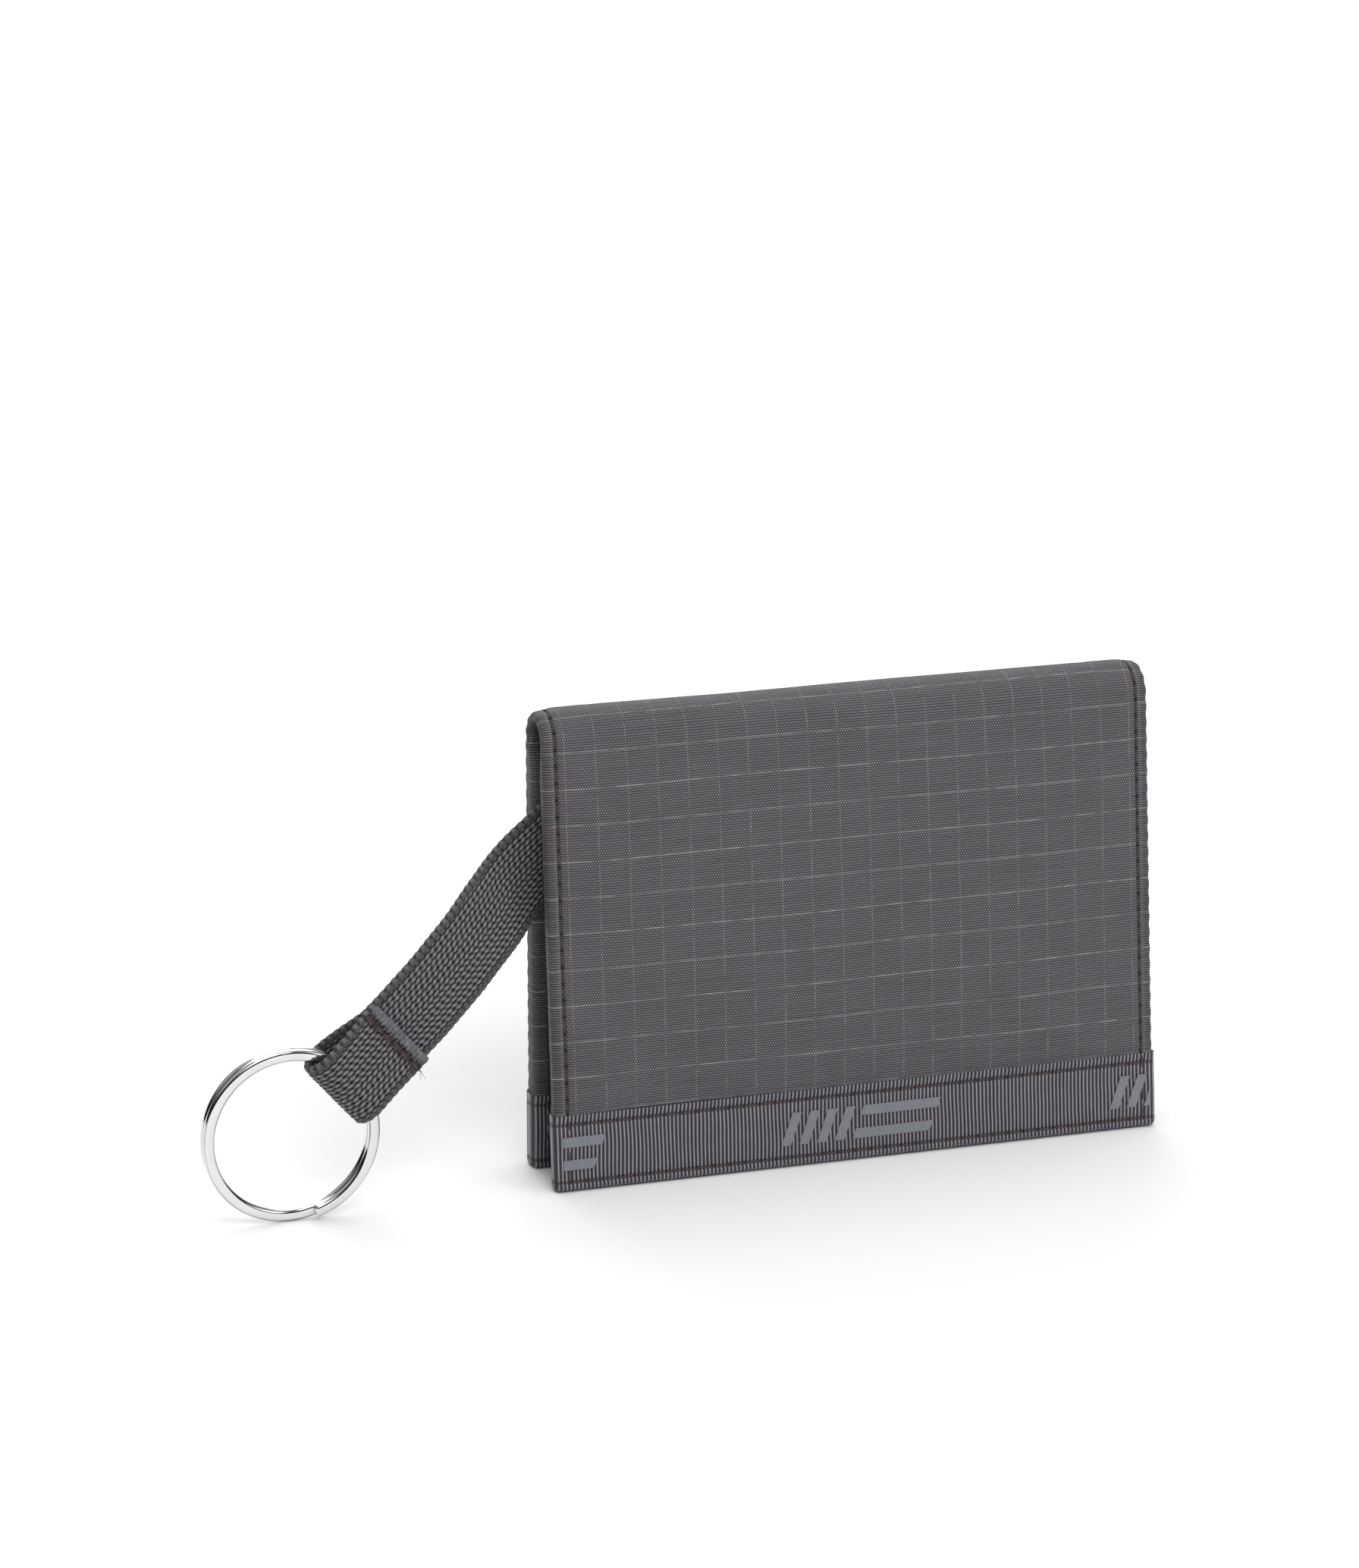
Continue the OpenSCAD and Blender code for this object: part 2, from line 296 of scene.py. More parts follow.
def hang_between_seams():
    """Lets the cloth swell over its soft interlining between the seams that hold it.
    Gives how far it stands off at a grid of places over both halves."""
    size = 10.0
    columns, rows = 55, 79
    v_low, v_high = TAPE_H, V_END - TAPE_H

    def place(column, row):
        x = SEAM_X * (2 * column / (columns - 1) - 1)
        v = v_low + (v_high - v_low) * row / (rows - 1)
        return at(x, v) * size, (0, 0), 0

    work = grid_mesh("cloth_test", columns, rows, place)
    mesh = bpy.data.meshes.new("cloth_test")
    work.to_mesh(mesh)
    work.free()
    cloth = bpy.data.objects.new("cloth_test", mesh)
    scene.collection.objects.link(cloth)
    rest = [vert.co.copy() for vert in mesh.vertices]
    outward = [vert.normal.copy() for vert in mesh.vertices]
    side = SEAM_X * size
    held = []
    for index, point in enumerate(rest):
        at_side = abs(abs(point.x) - side) < 1e-4
        at_hem = point.z < (TAPE_H + 0.4 * MM) * size
        if at_side or at_hem:
            held.append(index)
    cloth.vertex_groups.new(name="seams").add(held, 1.0, "REPLACE")
    swell = cloth.modifiers.new("swell", "CLOTH")
    swell.settings.vertex_group_mass = "seams"
    swell.settings.quality = 6
    swell.settings.mass = 0.2
    swell.settings.tension_stiffness = 20
    swell.settings.compression_stiffness = 20
    swell.settings.bending_stiffness = 0.4
    swell.settings.use_pressure = True
    swell.settings.uniform_pressure_force = 0.35
    swell.settings.shrink_min = -0.012
    swell.settings.effector_weights.gravity = 0
    swell.collision_settings.use_collision = False
    for step in range(1, 21):
        scene.frame_set(step)
    graph = bpy.context.evaluated_depsgraph_get()
    moved = cloth.evaluated_get(graph).to_mesh()
    heights = [(vert.co - rest[index]).dot(outward[index]) / size
               for index, vert in enumerate(moved.vertices)]
    table = [[0.0] * rows for _ in range(columns)]
    for index, point in enumerate(rest):
        column = round((point.x / size / SEAM_X + 1) * (columns - 1) / 2)
        table[column][row_of(point / size, v_low, v_high, rows)] = heights[index]
    scene.frame_set(1)
    bpy.data.objects.remove(cloth)
    bpy.data.meshes.remove(mesh)
    return table, columns, rows, v_low, v_high


def row_of(point, v_low, v_high, rows):
    """The row of the test cloth that a point is on."""
    if point.z > MID_Z:
        turn = math.atan2(point.z - MID_Z, point.y - MID_Y)
        v = MID_Z + FOLD_R * min(turn, math.pi - LEAN)
        if turn > math.pi - LEAN:
            v = V_FRONT + (point.z - MID_Z - FOLD_R * math.sin(math.pi - LEAN)) / math.cos(math.pi - LEAN)
    elif point.y > MID_Y:
        v = point.z
    else:
        v = V_FRONT + (point.z - MID_Z - FOLD_R * math.sin(math.pi - LEAN)) / math.cos(math.pi - LEAN)
    return min(max(round((v - v_low) / (v_high - v_low) * (rows - 1)), 0), rows - 1)


MOST_SWELL = 0.9 * MM
swell_table, SWELL_COLUMNS, SWELL_ROWS, SWELL_LOW, SWELL_HIGH = hang_between_seams()
peak = sorted(abs(h) for line in swell_table for h in line)[-40]
for line in swell_table:
    for row in range(SWELL_ROWS):
        line[row] = max(-0.2 * MM, min(MOST_SWELL * 1.4, line[row] / peak * MOST_SWELL))


def swell_at(x, v):
    """How far the cloth stands off its flat place, between the side seams and the tapes."""
    if abs(x) >= SEAM_X or v <= TAPE_H or v >= V_END - TAPE_H:
        return 0.0
    from_hem = min(v - TAPE_H, V_END - TAPE_H - v)
    puff = 0.35 * MM * (1 - math.exp((abs(x) - SEAM_X) / (2.2 * MM))) * (1 - math.exp(-from_hem / (2.2 * MM)))
    if swell_table is None:
        across = 1 - (x / SEAM_X) ** 6
        up = min(1.0, (v - TAPE_H) / (9 * MM)) * min(1.0, (V_END - TAPE_H - v) / (9 * MM))
        return puff + 0.6 * MM * across * up
    column = (x / SEAM_X + 1) * (SWELL_COLUMNS - 1) / 2
    row = (v - SWELL_LOW) / (SWELL_HIGH - SWELL_LOW) * (SWELL_ROWS - 1)
    i, j = min(int(column), SWELL_COLUMNS - 2), min(int(row), SWELL_ROWS - 2)
    a, b = column - i, row - j
    low = swell_table[i][j] * (1 - a) + swell_table[i + 1][j] * a
    high = swell_table[i][j + 1] * (1 - a) + swell_table[i + 1][j + 1] * a
    return puff + low * (1 - b) + high * b


def cloth_relief(x, v):
    """The small folds that the seams pull into the cloth, and the groove that their thread cuts."""
    from_seam = SEAM_X - abs(x)
    groove = math.exp(-(from_seam / (0.42 * MM)) ** 2)
    beat = 0.5 + 0.5 * math.cos(2 * math.pi * (v - HEM_ROW) / STITCH_PITCH)
    relief = -0.24 * MM * groove * (0.55 + 0.45 * beat)
    if from_seam > 0:
        pull = noise.noise(Vector((x * 60, v * 330, 3.0)))
        relief += 0.16 * MM * pull * math.exp(-from_seam / (3.5 * MM)) * (1 - groove)
    else:
        relief += 0.08 * MM * (1 - groove) * (1 - beat)
    hem = min(v - TAPE_H, V_END - TAPE_H - v)
    if hem > 0:
        tug = noise.noise(Vector((x * 260, hem * 60, 9.0)))
        relief += 0.13 * MM * tug * math.exp(-hem / (3.5 * MM))
    broad = noise.noise(Vector((x * 35, v * 45, 21.0))) + 0.5 * noise.noise(Vector((x * 90, v * 110, 5.0)))
    relief += 0.17 * MM * broad * min(1.0, max(0.0, from_seam) / (4 * MM))
    crease_x = math.exp(-((x + 0.036) / (13 * MM)) ** 2)
    crease_v = math.exp(-((v - (V_FRONT - 1.5 * MM)) / (2.6 * MM)) ** 2)
    relief += 0.15 * MM * crease_x * crease_v * math.sin((v + 0.04 * x) * 2 * math.pi / (1.5 * MM))
    return relief - corner_drop(x, v)


# across the cloth: turned edge, round side edge, the wide face, and the same again
face_x = HALF_W - EDGE_R
strip = spaced(face_x, face_x - 6 * MM, 0.38 * MM)
middle = spaced(face_x - 6 * MM, 0, 0.85 * MM)
half_face = strip + middle
FACE_COLUMNS = [-x for x in half_face] + [0.0] + half_face[::-1]
SIDE_STEPS = 4
SIDE_COLUMNS = 3 * SIDE_STEPS + 3


def side_profile(step, stack):
    """From the wide face round the side edge and in over the pockets: how far out of the face's
    last column it lies, how deep, and how much cloth that takes."""
    radius = min(EDGE_R, stack / 2 - 0.02 * MM)
    if step <= SIDE_STEPS:
        angle = math.pi / 2 * step / SIDE_STEPS
        return EDGE_R - radius * (1 - math.sin(angle)), radius * (1 - math.cos(angle)), radius * angle
    flat_side = stack - 2 * radius
    if step <= 2 * SIDE_STEPS:
        share = (step - SIDE_STEPS) / SIDE_STEPS
        return EDGE_R, radius + flat_side * share, radius * math.pi / 2 + flat_side * share
    if step <= 3 * SIDE_STEPS:
        angle = math.pi / 2 * (step - 2 * SIDE_STEPS) / SIDE_STEPS
        return (EDGE_R - radius * (1 - math.cos(angle)), stack - radius * (1 - math.sin(angle)),
                radius * (math.pi / 2 + angle) + flat_side)
    inward = (step - 3 * SIDE_STEPS) * (TURN_IN - EDGE_R) / 3
    return EDGE_R - radius - inward, stack, radius * math.pi + flat_side + inward


def cloth_point(column, v):
    left = SIDE_COLUMNS - column
    right = column - SIDE_COLUMNS - len(FACE_COLUMNS) + 1
    if left > 0 or right > 0:
        step, side = (left, -1) if left > 0 else (right, 1)
        out, deep, used = side_profile(step, stack_at(v))
        puff = -0.06 * MM * math.cos(2 * math.pi * (v - HEM_ROW) / STITCH_PITCH)
        x = side * (face_x + out + (puff if step <= 2 * SIDE_STEPS else 0))
        raised = cloth_relief(x, v) if step < SIDE_STEPS else -corner_drop(x, v)
        point = at(x, v, deep - raised)
        return point, (side * (face_x + used) / MM, v / MM), 0.0
    x = FACE_COLUMNS[column - SIDE_COLUMNS]
    sway = 0.45 * noise.noise(Vector((x * 30, v * 22, 13.0))) * smooth(SEAM_X, SEAM_X - 12 * MM, abs(x))
    return at(x, v, -swell_at(x, v) - cloth_relief(x, v)), (x / MM, v / MM + sway), 0.0


PANEL_STEP = STITCH_PITCH / 4
CLOTH_FOOT = back_low.z
CLOTH_COLUMNS = len(FACE_COLUMNS) + 2 * SIDE_COLUMNS
BACK_ROWS = spaced(CLOTH_FOOT, MID_Z - 3 * MM, PANEL_STEP) + spaced(MID_Z - 3 * MM, V_MIDDLE, 0.4 * MM)
FRONT_ROWS = [V_MIDDLE] + spaced(V_MIDDLE, V_FRONT + 3 * MM, 0.4 * MM)[1:] \
    + spaced(V_FRONT + 3 * MM, V_END - CLOTH_FOOT, PANEL_STEP) + [V_END - CLOTH_FOOT]
BACK_ROWS.append(V_MIDDLE)

# plain weave: each weft thread is a rib, raised where it passes over a warp thread, and a
# double thread runs along and across at every few millimetres
WEFT_PITCH = 0.42
WARP_PITCH = 0.23
LINE_UP = 6.1
LINE_ACROSS = 5.3
LINE_START = 2.2


def cloth_axes(tree):
    coordinates = wire(tree, "UVMap", uv_map="weave")
    split = tree.nodes.new("ShaderNodeSeparateXYZ")
    tree.links.new(coordinates, split.inputs[0])
    return split.outputs[0], split.outputs[1]


def near_line(tree, axis, pitch, inner, outer):
    """1 on evenly spaced lines across an axis, 0 away from them."""
    phase = calc(tree, "SUBTRACT", calc(tree, "FRACT", calc(tree, "DIVIDE", axis, pitch)), 0.5)
    away = calc(tree, "MULTIPLY", calc(tree, "ABSOLUTE", phase), pitch)
    fade = wire(tree, "MapRange", away, inner, outer, 1.0, 0.0, interpolation_type="SMOOTHSTEP")
    return fade


def plain_weave(tree, across, along, warp_pitch, weft_pitch, beading=0.75):
    """Height of a plain weave, 0 to 1, and the number of the weft thread. beading is how much a
    weft thread sinks where it passes under a warp thread."""
    rows = calc(tree, "DIVIDE", along, weft_pitch)
    row = calc(tree, "FLOOR", rows)
    phase = calc(tree, "SUBTRACT", calc(tree, "FRACT", rows), 0.5)
    thread = calc(tree, "SUBTRACT", 1.0, calc(tree, "MULTIPLY", calc(tree, "MULTIPLY", phase, phase), 4.0))
    swing = calc(tree, "ADD", calc(tree, "DIVIDE", across, warp_pitch), row)
    over = calc(tree, "SINE", calc(tree, "MULTIPLY", swing, math.pi))
    under = wire(tree, "MapRange", over, 0.0, -0.9, 0.0, 1.0, interpolation_type="SMOOTHSTEP")
    sink = calc(tree, "MULTIPLY", under, beading)
    return calc(tree, "MULTIPLY", thread, calc(tree, "SUBTRACT", 1.0, sink)), row


def ripstop(name, dark, light, line, line_strength=1.0):
    material, tree, shader = finish_called(name, roughness=0.62, specular=0.3, sheen=0.12)
    across, along = cloth_axes(tree)
    from_seam = calc(tree, "SUBTRACT", calc(tree, "ABSOLUTE", across), SEAM_X / MM)
    turned = wire(tree, "MapRange", from_seam, -0.1, 0.2, 0.75, 0.35)
    height, row = plain_weave(tree, across, along, WARP_PITCH, WEFT_PITCH, turned)
    level = near_line(tree, calc(tree, "ADD", along, LINE_START), LINE_UP, 0.07, 0.21)
    upright = near_line(tree, across, LINE_ACROSS, 0.05, 0.17)
    grid = calc(tree, "MAXIMUM", level, calc(tree, "MULTIPLY", upright, 0.6))
    # thread by thread, the weft is a little lighter or darker
    yarn = wire(tree, "CombineXYZ", calc(tree, "MULTIPLY", across, 0.05), calc(tree, "MULTIPLY", row, 0.9))
    streak = wire(tree, "TexNoise", yarn, None, 1.0, 1.0)
    cloud = wire(tree, "TexNoise", wire(tree, "UVMap", uv_map="weave"), None, 0.09, 3.0)
    tone = calc(tree, "MULTIPLY_ADD", streak, 0.40, calc(tree, "MULTIPLY", cloud, 0.26))
    # painted shade: the colour darkens with the weave's height, near black in the gaps between threads and
    # lightest on their crowns
    share = calc(tree, "MULTIPLY", height, calc(tree, "ADD", tone, 0.62))
    # painted shade: past the side seam the weave's shade is deepened, so the strip beyond the stitches and
    # the round side edges are darker
    edge = wire(tree, "MapRange", from_seam, 0.6, 1.2, 1.0, 2.2)
    colour = blend_colours(tree, calc(tree, "POWER", share, edge), dark, light)
    # the double threads catch the light unevenly
    patchy = wire(tree, "TexNoise", wire(tree, "UVMap", uv_map="weave"), None, 0.35, 2.0)
    patchy = wire(tree, "MapRange", patchy, 0.35, 0.65, 0.15, 0.90)
    lit = calc(tree, "MULTIPLY", calc(tree, "MULTIPLY", grid, height), line_strength)
    colour = blend_colours(tree, calc(tree, "MULTIPLY", lit, patchy), colour, line)
    # painted shade: the colour is darkened along the seam, where the needle draws the cloth into a groove,
    # and most at the needle holes between stitches
    groove_shade = wire(tree, "MapRange", calc(tree, "ABSOLUTE", from_seam), 0.12, 0.46, 0.85, 0.0,
                 interpolation_type="SMOOTHSTEP")
    beat = calc(tree, "DIVIDE", calc(tree, "SUBTRACT", along, HEM_ROW / MM), STITCH_PITCH / MM)
    beat = calc(tree, "SUBTRACT", calc(tree, "FRACT", calc(tree, "ADD", beat, 0.5)), 0.5)
    beat = calc(tree, "MULTIPLY", beat, STITCH_PITCH / MM)
    hole_shade = wire(tree, "MapRange", wire(tree, "VectorMath", wire(tree, "CombineXYZ", from_seam, beat),
                                       operation="LENGTH").node.outputs["Value"], 0.24, 0.48, 0.95, 0.0)
    colour = blend_colours(tree, calc(tree, "MAXIMUM", groove_shade, hole_shade), colour, grey(18, 15, 17))
    tree.links.new(colour, shader.inputs["Base Color"])
    raised = calc(tree, "MULTIPLY_ADD", grid, 0.35, height)
    raise_surface(tree, shader, raised, 0.11 * MM, 0.8)
    return material


outer_ripstop = ripstop("grey_ripstop", grey(20, 18, 20), grey(122, 118, 124), grey(166, 163, 166))


def bend_with_back(obj):
    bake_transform(obj)


def bend_with_front(obj):
    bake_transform(obj)


outer_cloth = {}
for name, rows, stack, nodes in (
    ("outer_cloth_back", BACK_ROWS, BACK_STACK, ("shell_back", "shell_spine", "side_seam_back_left",
                                                 "side_seam_back_right", "foot_seam_back")),
    ("outer_cloth_front", FRONT_ROWS, FRONT_STACK, ("shell_front", "side_seam_front_left",
                                                    "side_seam_front_right", "foot_seam_front")),
):
    work = grid_mesh(name, CLOTH_COLUMNS, len(rows), lambda c, r, rows=rows: cloth_point(c, rows[r]))
    cloth = thicken(object_from(work, name, outer_ripstop), CLOTH_T)
    outer_cloth[name] = settle(cloth)
    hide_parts(*nodes)
bend_with_back(outer_cloth["outer_cloth_back"])
bend_with_front(outer_cloth["outer_cloth_front"])


# ---- Topstitching ----
# Brownish grey polyester thread, sewn by a lockstitch machine through the turned side edges,
# from hem to hem over the fold. It shows on the outside and on the inside, sunk in the cloth.
THREAD_R = 0.15 * MM
thread_material, tree, shader = finish_called("twisted_thread", roughness=0.6, specular=0.3, sheen=0.1)
spin = wire(tree, "TexWave", object_place(tree), 5200.0, 1.0, 1.0, bands_direction="DIAGONAL")
# painted shade: the thread is darker in the grooves between its twisted plies and lighter on their crowns
colour_with(tree, shader, spin, grey(42, 30, 31), grey(112, 90, 90))
raise_surface(tree, shader, spin, 0.05 * MM, 0.6)
dice = random.Random(7)


def stitch(work, centre, along, out, length, radius=THREAD_R):
    """One stitch: a bead of thread lying along the seam, its ends going down into the cloth."""
    along = (along + 0.05 * dice.uniform(-1, 1) * along.cross(out)).normalized()
    out = (out - along * out.dot(along)).normalized()
    across = along.cross(out)
    turn = Matrix((across, out, along)).transposed().to_4x4()
    shape = Matrix.Diagonal((radius, radius * 0.9, length / 2, 1))
    bmesh.ops.create_uvsphere(work, u_segments=6, v_segments=6, radius=1.0,
                              matrix=Matrix.Translation(centre) @ turn @ shape)


def seam(work, places, depth_of, length=0.86):
    """Stitches from place to place; places gives (x, v) points one stitch apart."""
    for (x0, v0), (x1, v1) in zip(places, places[1:]):
        x, v = (x0 + x1) / 2, (v0 + v1) / 2
        start, end = at(x0, v0, depth_of(x0, v0)), at(x1, v1, depth_of(x1, v1))
        outward = (at(x, v, 0) - at(x, v, 1 * MM)).normalized()
        stitch(work, at(x, v, depth_of(x, v)), (end - start).normalized(), outward,
               (end - start).length * length)


def thread_object(work, name):
    for face in work.faces:
        face.smooth = True
    return object_from(work, name, thread_material)


def outer_depth(x, v):
    return (0.10 * MM if TAPE_H < v < V_END - TAPE_H else -TAPE_T + 0.05 * MM) + corner_drop(x, v)


def inner_depth(x, v):
    return stack_at(v) - 0.05 * MM + (0 if TAPE_H < v < V_END - TAPE_H else TAPE_T) + corner_drop(x, v)


sewn = {}
middle_stitch = round((V_MIDDLE - HEM_ROW) / STITCH_PITCH)
for name, first, last in (("topstitching_back", 0, middle_stitch),
                          ("topstitching_front", middle_stitch, SIDE_STITCHES)):
    work = bmesh.new()
    for side in (-1, 1):
        run = [(side * SEAM_X, HEM_ROW + i * STITCH_PITCH) for i in range(first, last + 1)]
        seam(work, run, outer_depth)
        seam(work, run, inner_depth)
    sewn[name] = thread_object(work, name)
bend_with_back(sewn["topstitching_back"])
bend_with_front(sewn["topstitching_front"])


# ---- Hem tapes ----
# Ribbed grosgrain tape, folded in two over the foot of each half and sewn on with two rows of
# stitches. Its ribs stand across its length, and its ends are tucked round the side edges.
RIBS = 160
TAPE_HALF = HALF_W + TAPE_T
RIB_PITCH = 2 * TAPE_HALF / RIBS
RIB_STEPS = 4
END_R = 1.1 * MM
FOOT_R = 0.9 * MM
ROW_IN = 1.6 * MM
TAPE_STITCH = 2 * SEAM_X / round(2 * SEAM_X / STITCH_PITCH)
TAPE_PHASE = SEAM_X / TAPE_STITCH


def tape_outline(stack):
    """The tape's section: down the outer face, round the foot and up the inner face, as
    (depth, height) points."""
    up = [13.0, 12.8, 12.4, 12.0, 11.65, 11.4, 11.15, 10.7, 9.8, 8.6, 7.3, 6.0, 4.7, 3.6, 2.6, 2.0, 1.6, 1.2]
    outer = [(-TAPE_T, h * MM) for h in up]
    turn = [math.pi / 2 * i / 4 for i in range(5)]
    outer_foot = [(-TAPE_T + FOOT_R * (1 - math.cos(a)), FOOT_R * (1 - math.sin(a))) for a in turn]
    inner_foot = [(stack - depth, height) for depth, height in outer_foot[::-1]]
    return outer + outer_foot + inner_foot + [(stack + TAPE_T, h * MM) for h in up[::-1]]


def tape_point(column, section, stack, to_v):
    x = -TAPE_HALF + RIB_PITCH * column / RIB_STEPS
    depth, height = section
    rib = 0.5 + 0.5 * math.cos(2 * math.pi * column / RIB_STEPS)
    face = 1 if depth < stack / 2 else -1
    rows = math.exp(-((height - ROW_IN) / (0.35 * MM)) ** 2) \
        + math.exp(-((height - TAPE_H + ROW_IN) / (0.35 * MM)) ** 2)
    sunk = (0.13 * (1 - rib) + 0.16 * rows) * MM
    sunk += 0.05 * MM * noise.noise(Vector((x * 70, height * 160, face)))
    wander = 0.16 * MM * noise.noise(Vector((x * 90, height * 190, 2.0 + face)))
    wander += 0.20 * MM * math.exp(-((TAPE_H - height) / (1.3 * MM)) ** 2) \
        + 0.05 * MM * math.exp(-(height / (1.2 * MM)) ** 2)
    middle = stack / 2
    depth += face * sunk if height > FOOT_R else 0
    if height <= FOOT_R:
        height += 0.06 * MM * (1 - rib)
    past = max(0.0, abs(x) - (TAPE_HALF - END_R)) / END_R
    narrow = math.sqrt(max(0.0, 1 - past * past))
    depth = middle + (depth - middle) * max(narrow, 0.02)
    height += (1 - narrow) * 1.0 * MM * max(0.0, 1 - height / (4 * MM))
    ease = min(1.0, (TAPE_HALF - abs(x)) / (2 * MM))
    return at(x + wander * ease, to_v(height), depth), (x / MM, height / MM + 40 * face), rib


grosgrain, tree, shader = finish_called("ribbed_grosgrain", roughness=0.5, specular=0.4, sheen=0.15)
across, along = cloth_axes(tree)
shading_height = wire(tree, "Attribute", attribute_name="lift").node.outputs["Fac"]
cloud = wire(tree, "TexNoise", wire(tree, "UVMap", uv_map="weave"), None, 0.35, 3.0)
wefts = calc(tree, "SINE", calc(tree, "MULTIPLY", along, 2 * math.pi / 0.24))
# painted shade: the colour darkens steeply with the rib's height, near black between the ribs and a little
# along the fine wefts; the cloud noise is random tone
share = calc(tree, "MULTIPLY_ADD", cloud, 0.5, 0.62)
share = calc(tree, "MULTIPLY", calc(tree, "POWER", shading_height, 2.8), share)
share = calc(tree, "MULTIPLY_ADD", wefts, 0.07, share)
colour = blend_colours(tree, share, grey(14, 11, 18), grey(176, 170, 182))
# painted shade: the colour is darkened along the two rows of stitches, where they pull grooves into the ribs,
# and most at the needle's holes
height = calc(tree, "SUBTRACT", along, calc(tree, "MULTIPLY", calc(tree, "SIGN", along), 40.0))
to_row = calc(tree, "ABSOLUTE", calc(tree, "SUBTRACT", height, TAPE_H / MM / 2))
to_row = calc(tree, "SUBTRACT", to_row, (TAPE_H / 2 - ROW_IN) / MM)
beat = calc(tree, "ADD", calc(tree, "DIVIDE", across, TAPE_STITCH / MM), TAPE_PHASE + 0.5)
beat = calc(tree, "FRACT", beat)
to_hole = calc(tree, "MULTIPLY", calc(tree, "SUBTRACT", beat, 0.5), TAPE_STITCH / MM)
groove_shade = wire(tree, "MapRange", calc(tree, "ABSOLUTE", to_row), 0.12, 0.42, 0.65, 0.0,
             interpolation_type="SMOOTHSTEP")
from_hole = wire(tree, "VectorMath", wire(tree, "CombineXYZ", to_row, to_hole), operation="LENGTH")
hole_shade = wire(tree, "MapRange", from_hole.node.outputs["Value"], 0.26, 0.50, 0.9, 0.0)
colour_with(tree, shader, calc(tree, "MAXIMUM", groove_shade, hole_shade), colour, grey(16, 12, 14))
raise_surface(tree, shader, wefts, 0.03 * MM, 0.5)

for half, stack, to_v in (("back", BACK_STACK, lambda h: h), ("front", FRONT_STACK, lambda h: V_END - h)):
    outline = tape_outline(stack)
    columns = RIBS * RIB_STEPS + 1
    work = grid_mesh("tape", columns, len(outline),
                     lambda c, r: tape_point(c, outline[r], stack, to_v), flip=(half == "front"))
    tape = thicken(object_from(work, "hem_tape_" + half + "_cloth", grosgrain), 0.3 * MM)
    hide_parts("hem_tape_" + half)
    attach(settle(tape), half)

    rows = bmesh.new()
    row_xs = spaced(-SEAM_X, SEAM_X, STITCH_PITCH) + [SEAM_X]
    for height in (ROW_IN, TAPE_H - ROW_IN):
        run = [(x, to_v(height)) for x in row_xs]
        seam(rows, run, lambda x, v: -TAPE_T + 0.06 * MM, length=0.9)
        seam(rows, run, lambda x, v: stack + TAPE_T - 0.06 * MM, length=0.9)
    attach(thread_object(rows, "hem_stitches_" + half), half)


# ---- Rubber print ----
# A plain geometric pattern of bars, screen-printed in raised rubber on the tapes. It is cut off
# where the tape's ends are tucked in, because the tape is printed before it is cut.
rubber, tree, shader = finish_called("printed_rubber", roughness=0.42, specular=0.45)
along_tape = wire(tree, "SeparateXYZ", object_place(tree))
ribs = calc(tree, "SINE", calc(tree, "MULTIPLY", along_tape, 2 * math.pi / RIB_PITCH))
grain = wire(tree, "TexNoise", object_place(tree), None, 900.0, 2.0)
# painted shade: the print is a little darker between the tape's ribs than on them; the grain is random tone
share = calc(tree, "MULTIPLY_ADD", ribs, 0.12, grain)
colour_with(tree, shader, share, grey(108, 111, 117), grey(124, 127, 133))
raise_surface(tree, shader, ribs, 0.03 * MM, 0.6)


for node in ("hem_print_back", "hem_print_front"):
    for slot in frame["nodes"][node].material_slots:
        slot.material = rubber


# ---- Lining ----
# Dark plain-woven nylon, one sheet from hem to hem, sewn in with the side edges. Over the fold
# it lies straight under the outer cloth.
lining_cloth, tree, shader = finish_called("dark_lining", roughness=0.6, specular=0.3, sheen=0.12)
across, along = cloth_axes(tree)
height, row = plain_weave(tree, across, along, 0.32, 0.30)
# painted shade: the colour darkens in the gaps of the weave and is lighter on the threads' crowns
colour_with(tree, shader, height, grey(40, 38, 42), grey(68, 66, 70))
raise_surface(tree, shader, height, 0.07 * MM, 0.7)
INSIDE_HALF = HALF_W - TURN_IN + 0.6 * MM
LINING_T = 0.3 * MM


def sheet_columns(half_width, step=2.0 * MM):
    return spaced(-half_width, half_width, step) + [half_width]


def wavy(x, v, amount):
    return amount * noise.noise(Vector((x * 40, v * 55, amount * 1e5)))


def inner_sheet(name, material, xs, vs, depth_of, thickness, waves, skip=None):
    """A flat sheet inside the wallet: xs by vs points at the depth that depth_of gives. skip
    leaves out the faces whose middle it is true for."""
    def place(column, row):
        x, v = xs[column], vs[row]
        return at(x, v, depth_of(v) + wavy(x, v, waves)), (x / MM, v / MM), 0.0

    work = grid_mesh(name, len(xs), len(vs), place, flip=False)
    if skip:
        layer = work.loops.layers.uv["weave"]
        gone = []
        for face in work.faces:
            middle = sum((Vector(loop[layer].uv) for loop in face.loops), Vector((0, 0))) / len(face.loops)
            if skip(middle.x * MM, middle.y * MM):
                gone.append(face)
        bmesh.ops.delete(work, geom=gone, context="FACES")
    return settle(thicken(object_from(work, name, material), thickness))


def lining_depth(v):
    back, fold, front = 1.4 * MM, 0.80 * MM, 1.25 * MM
    leaving = smooth(MID_Z - 3 * MM, MID_Z, v)
    joining = smooth(V_FRONT, V_FRONT + 3 * MM, v)
    return back + (fold - back) * leaving + (front - fold) * joining


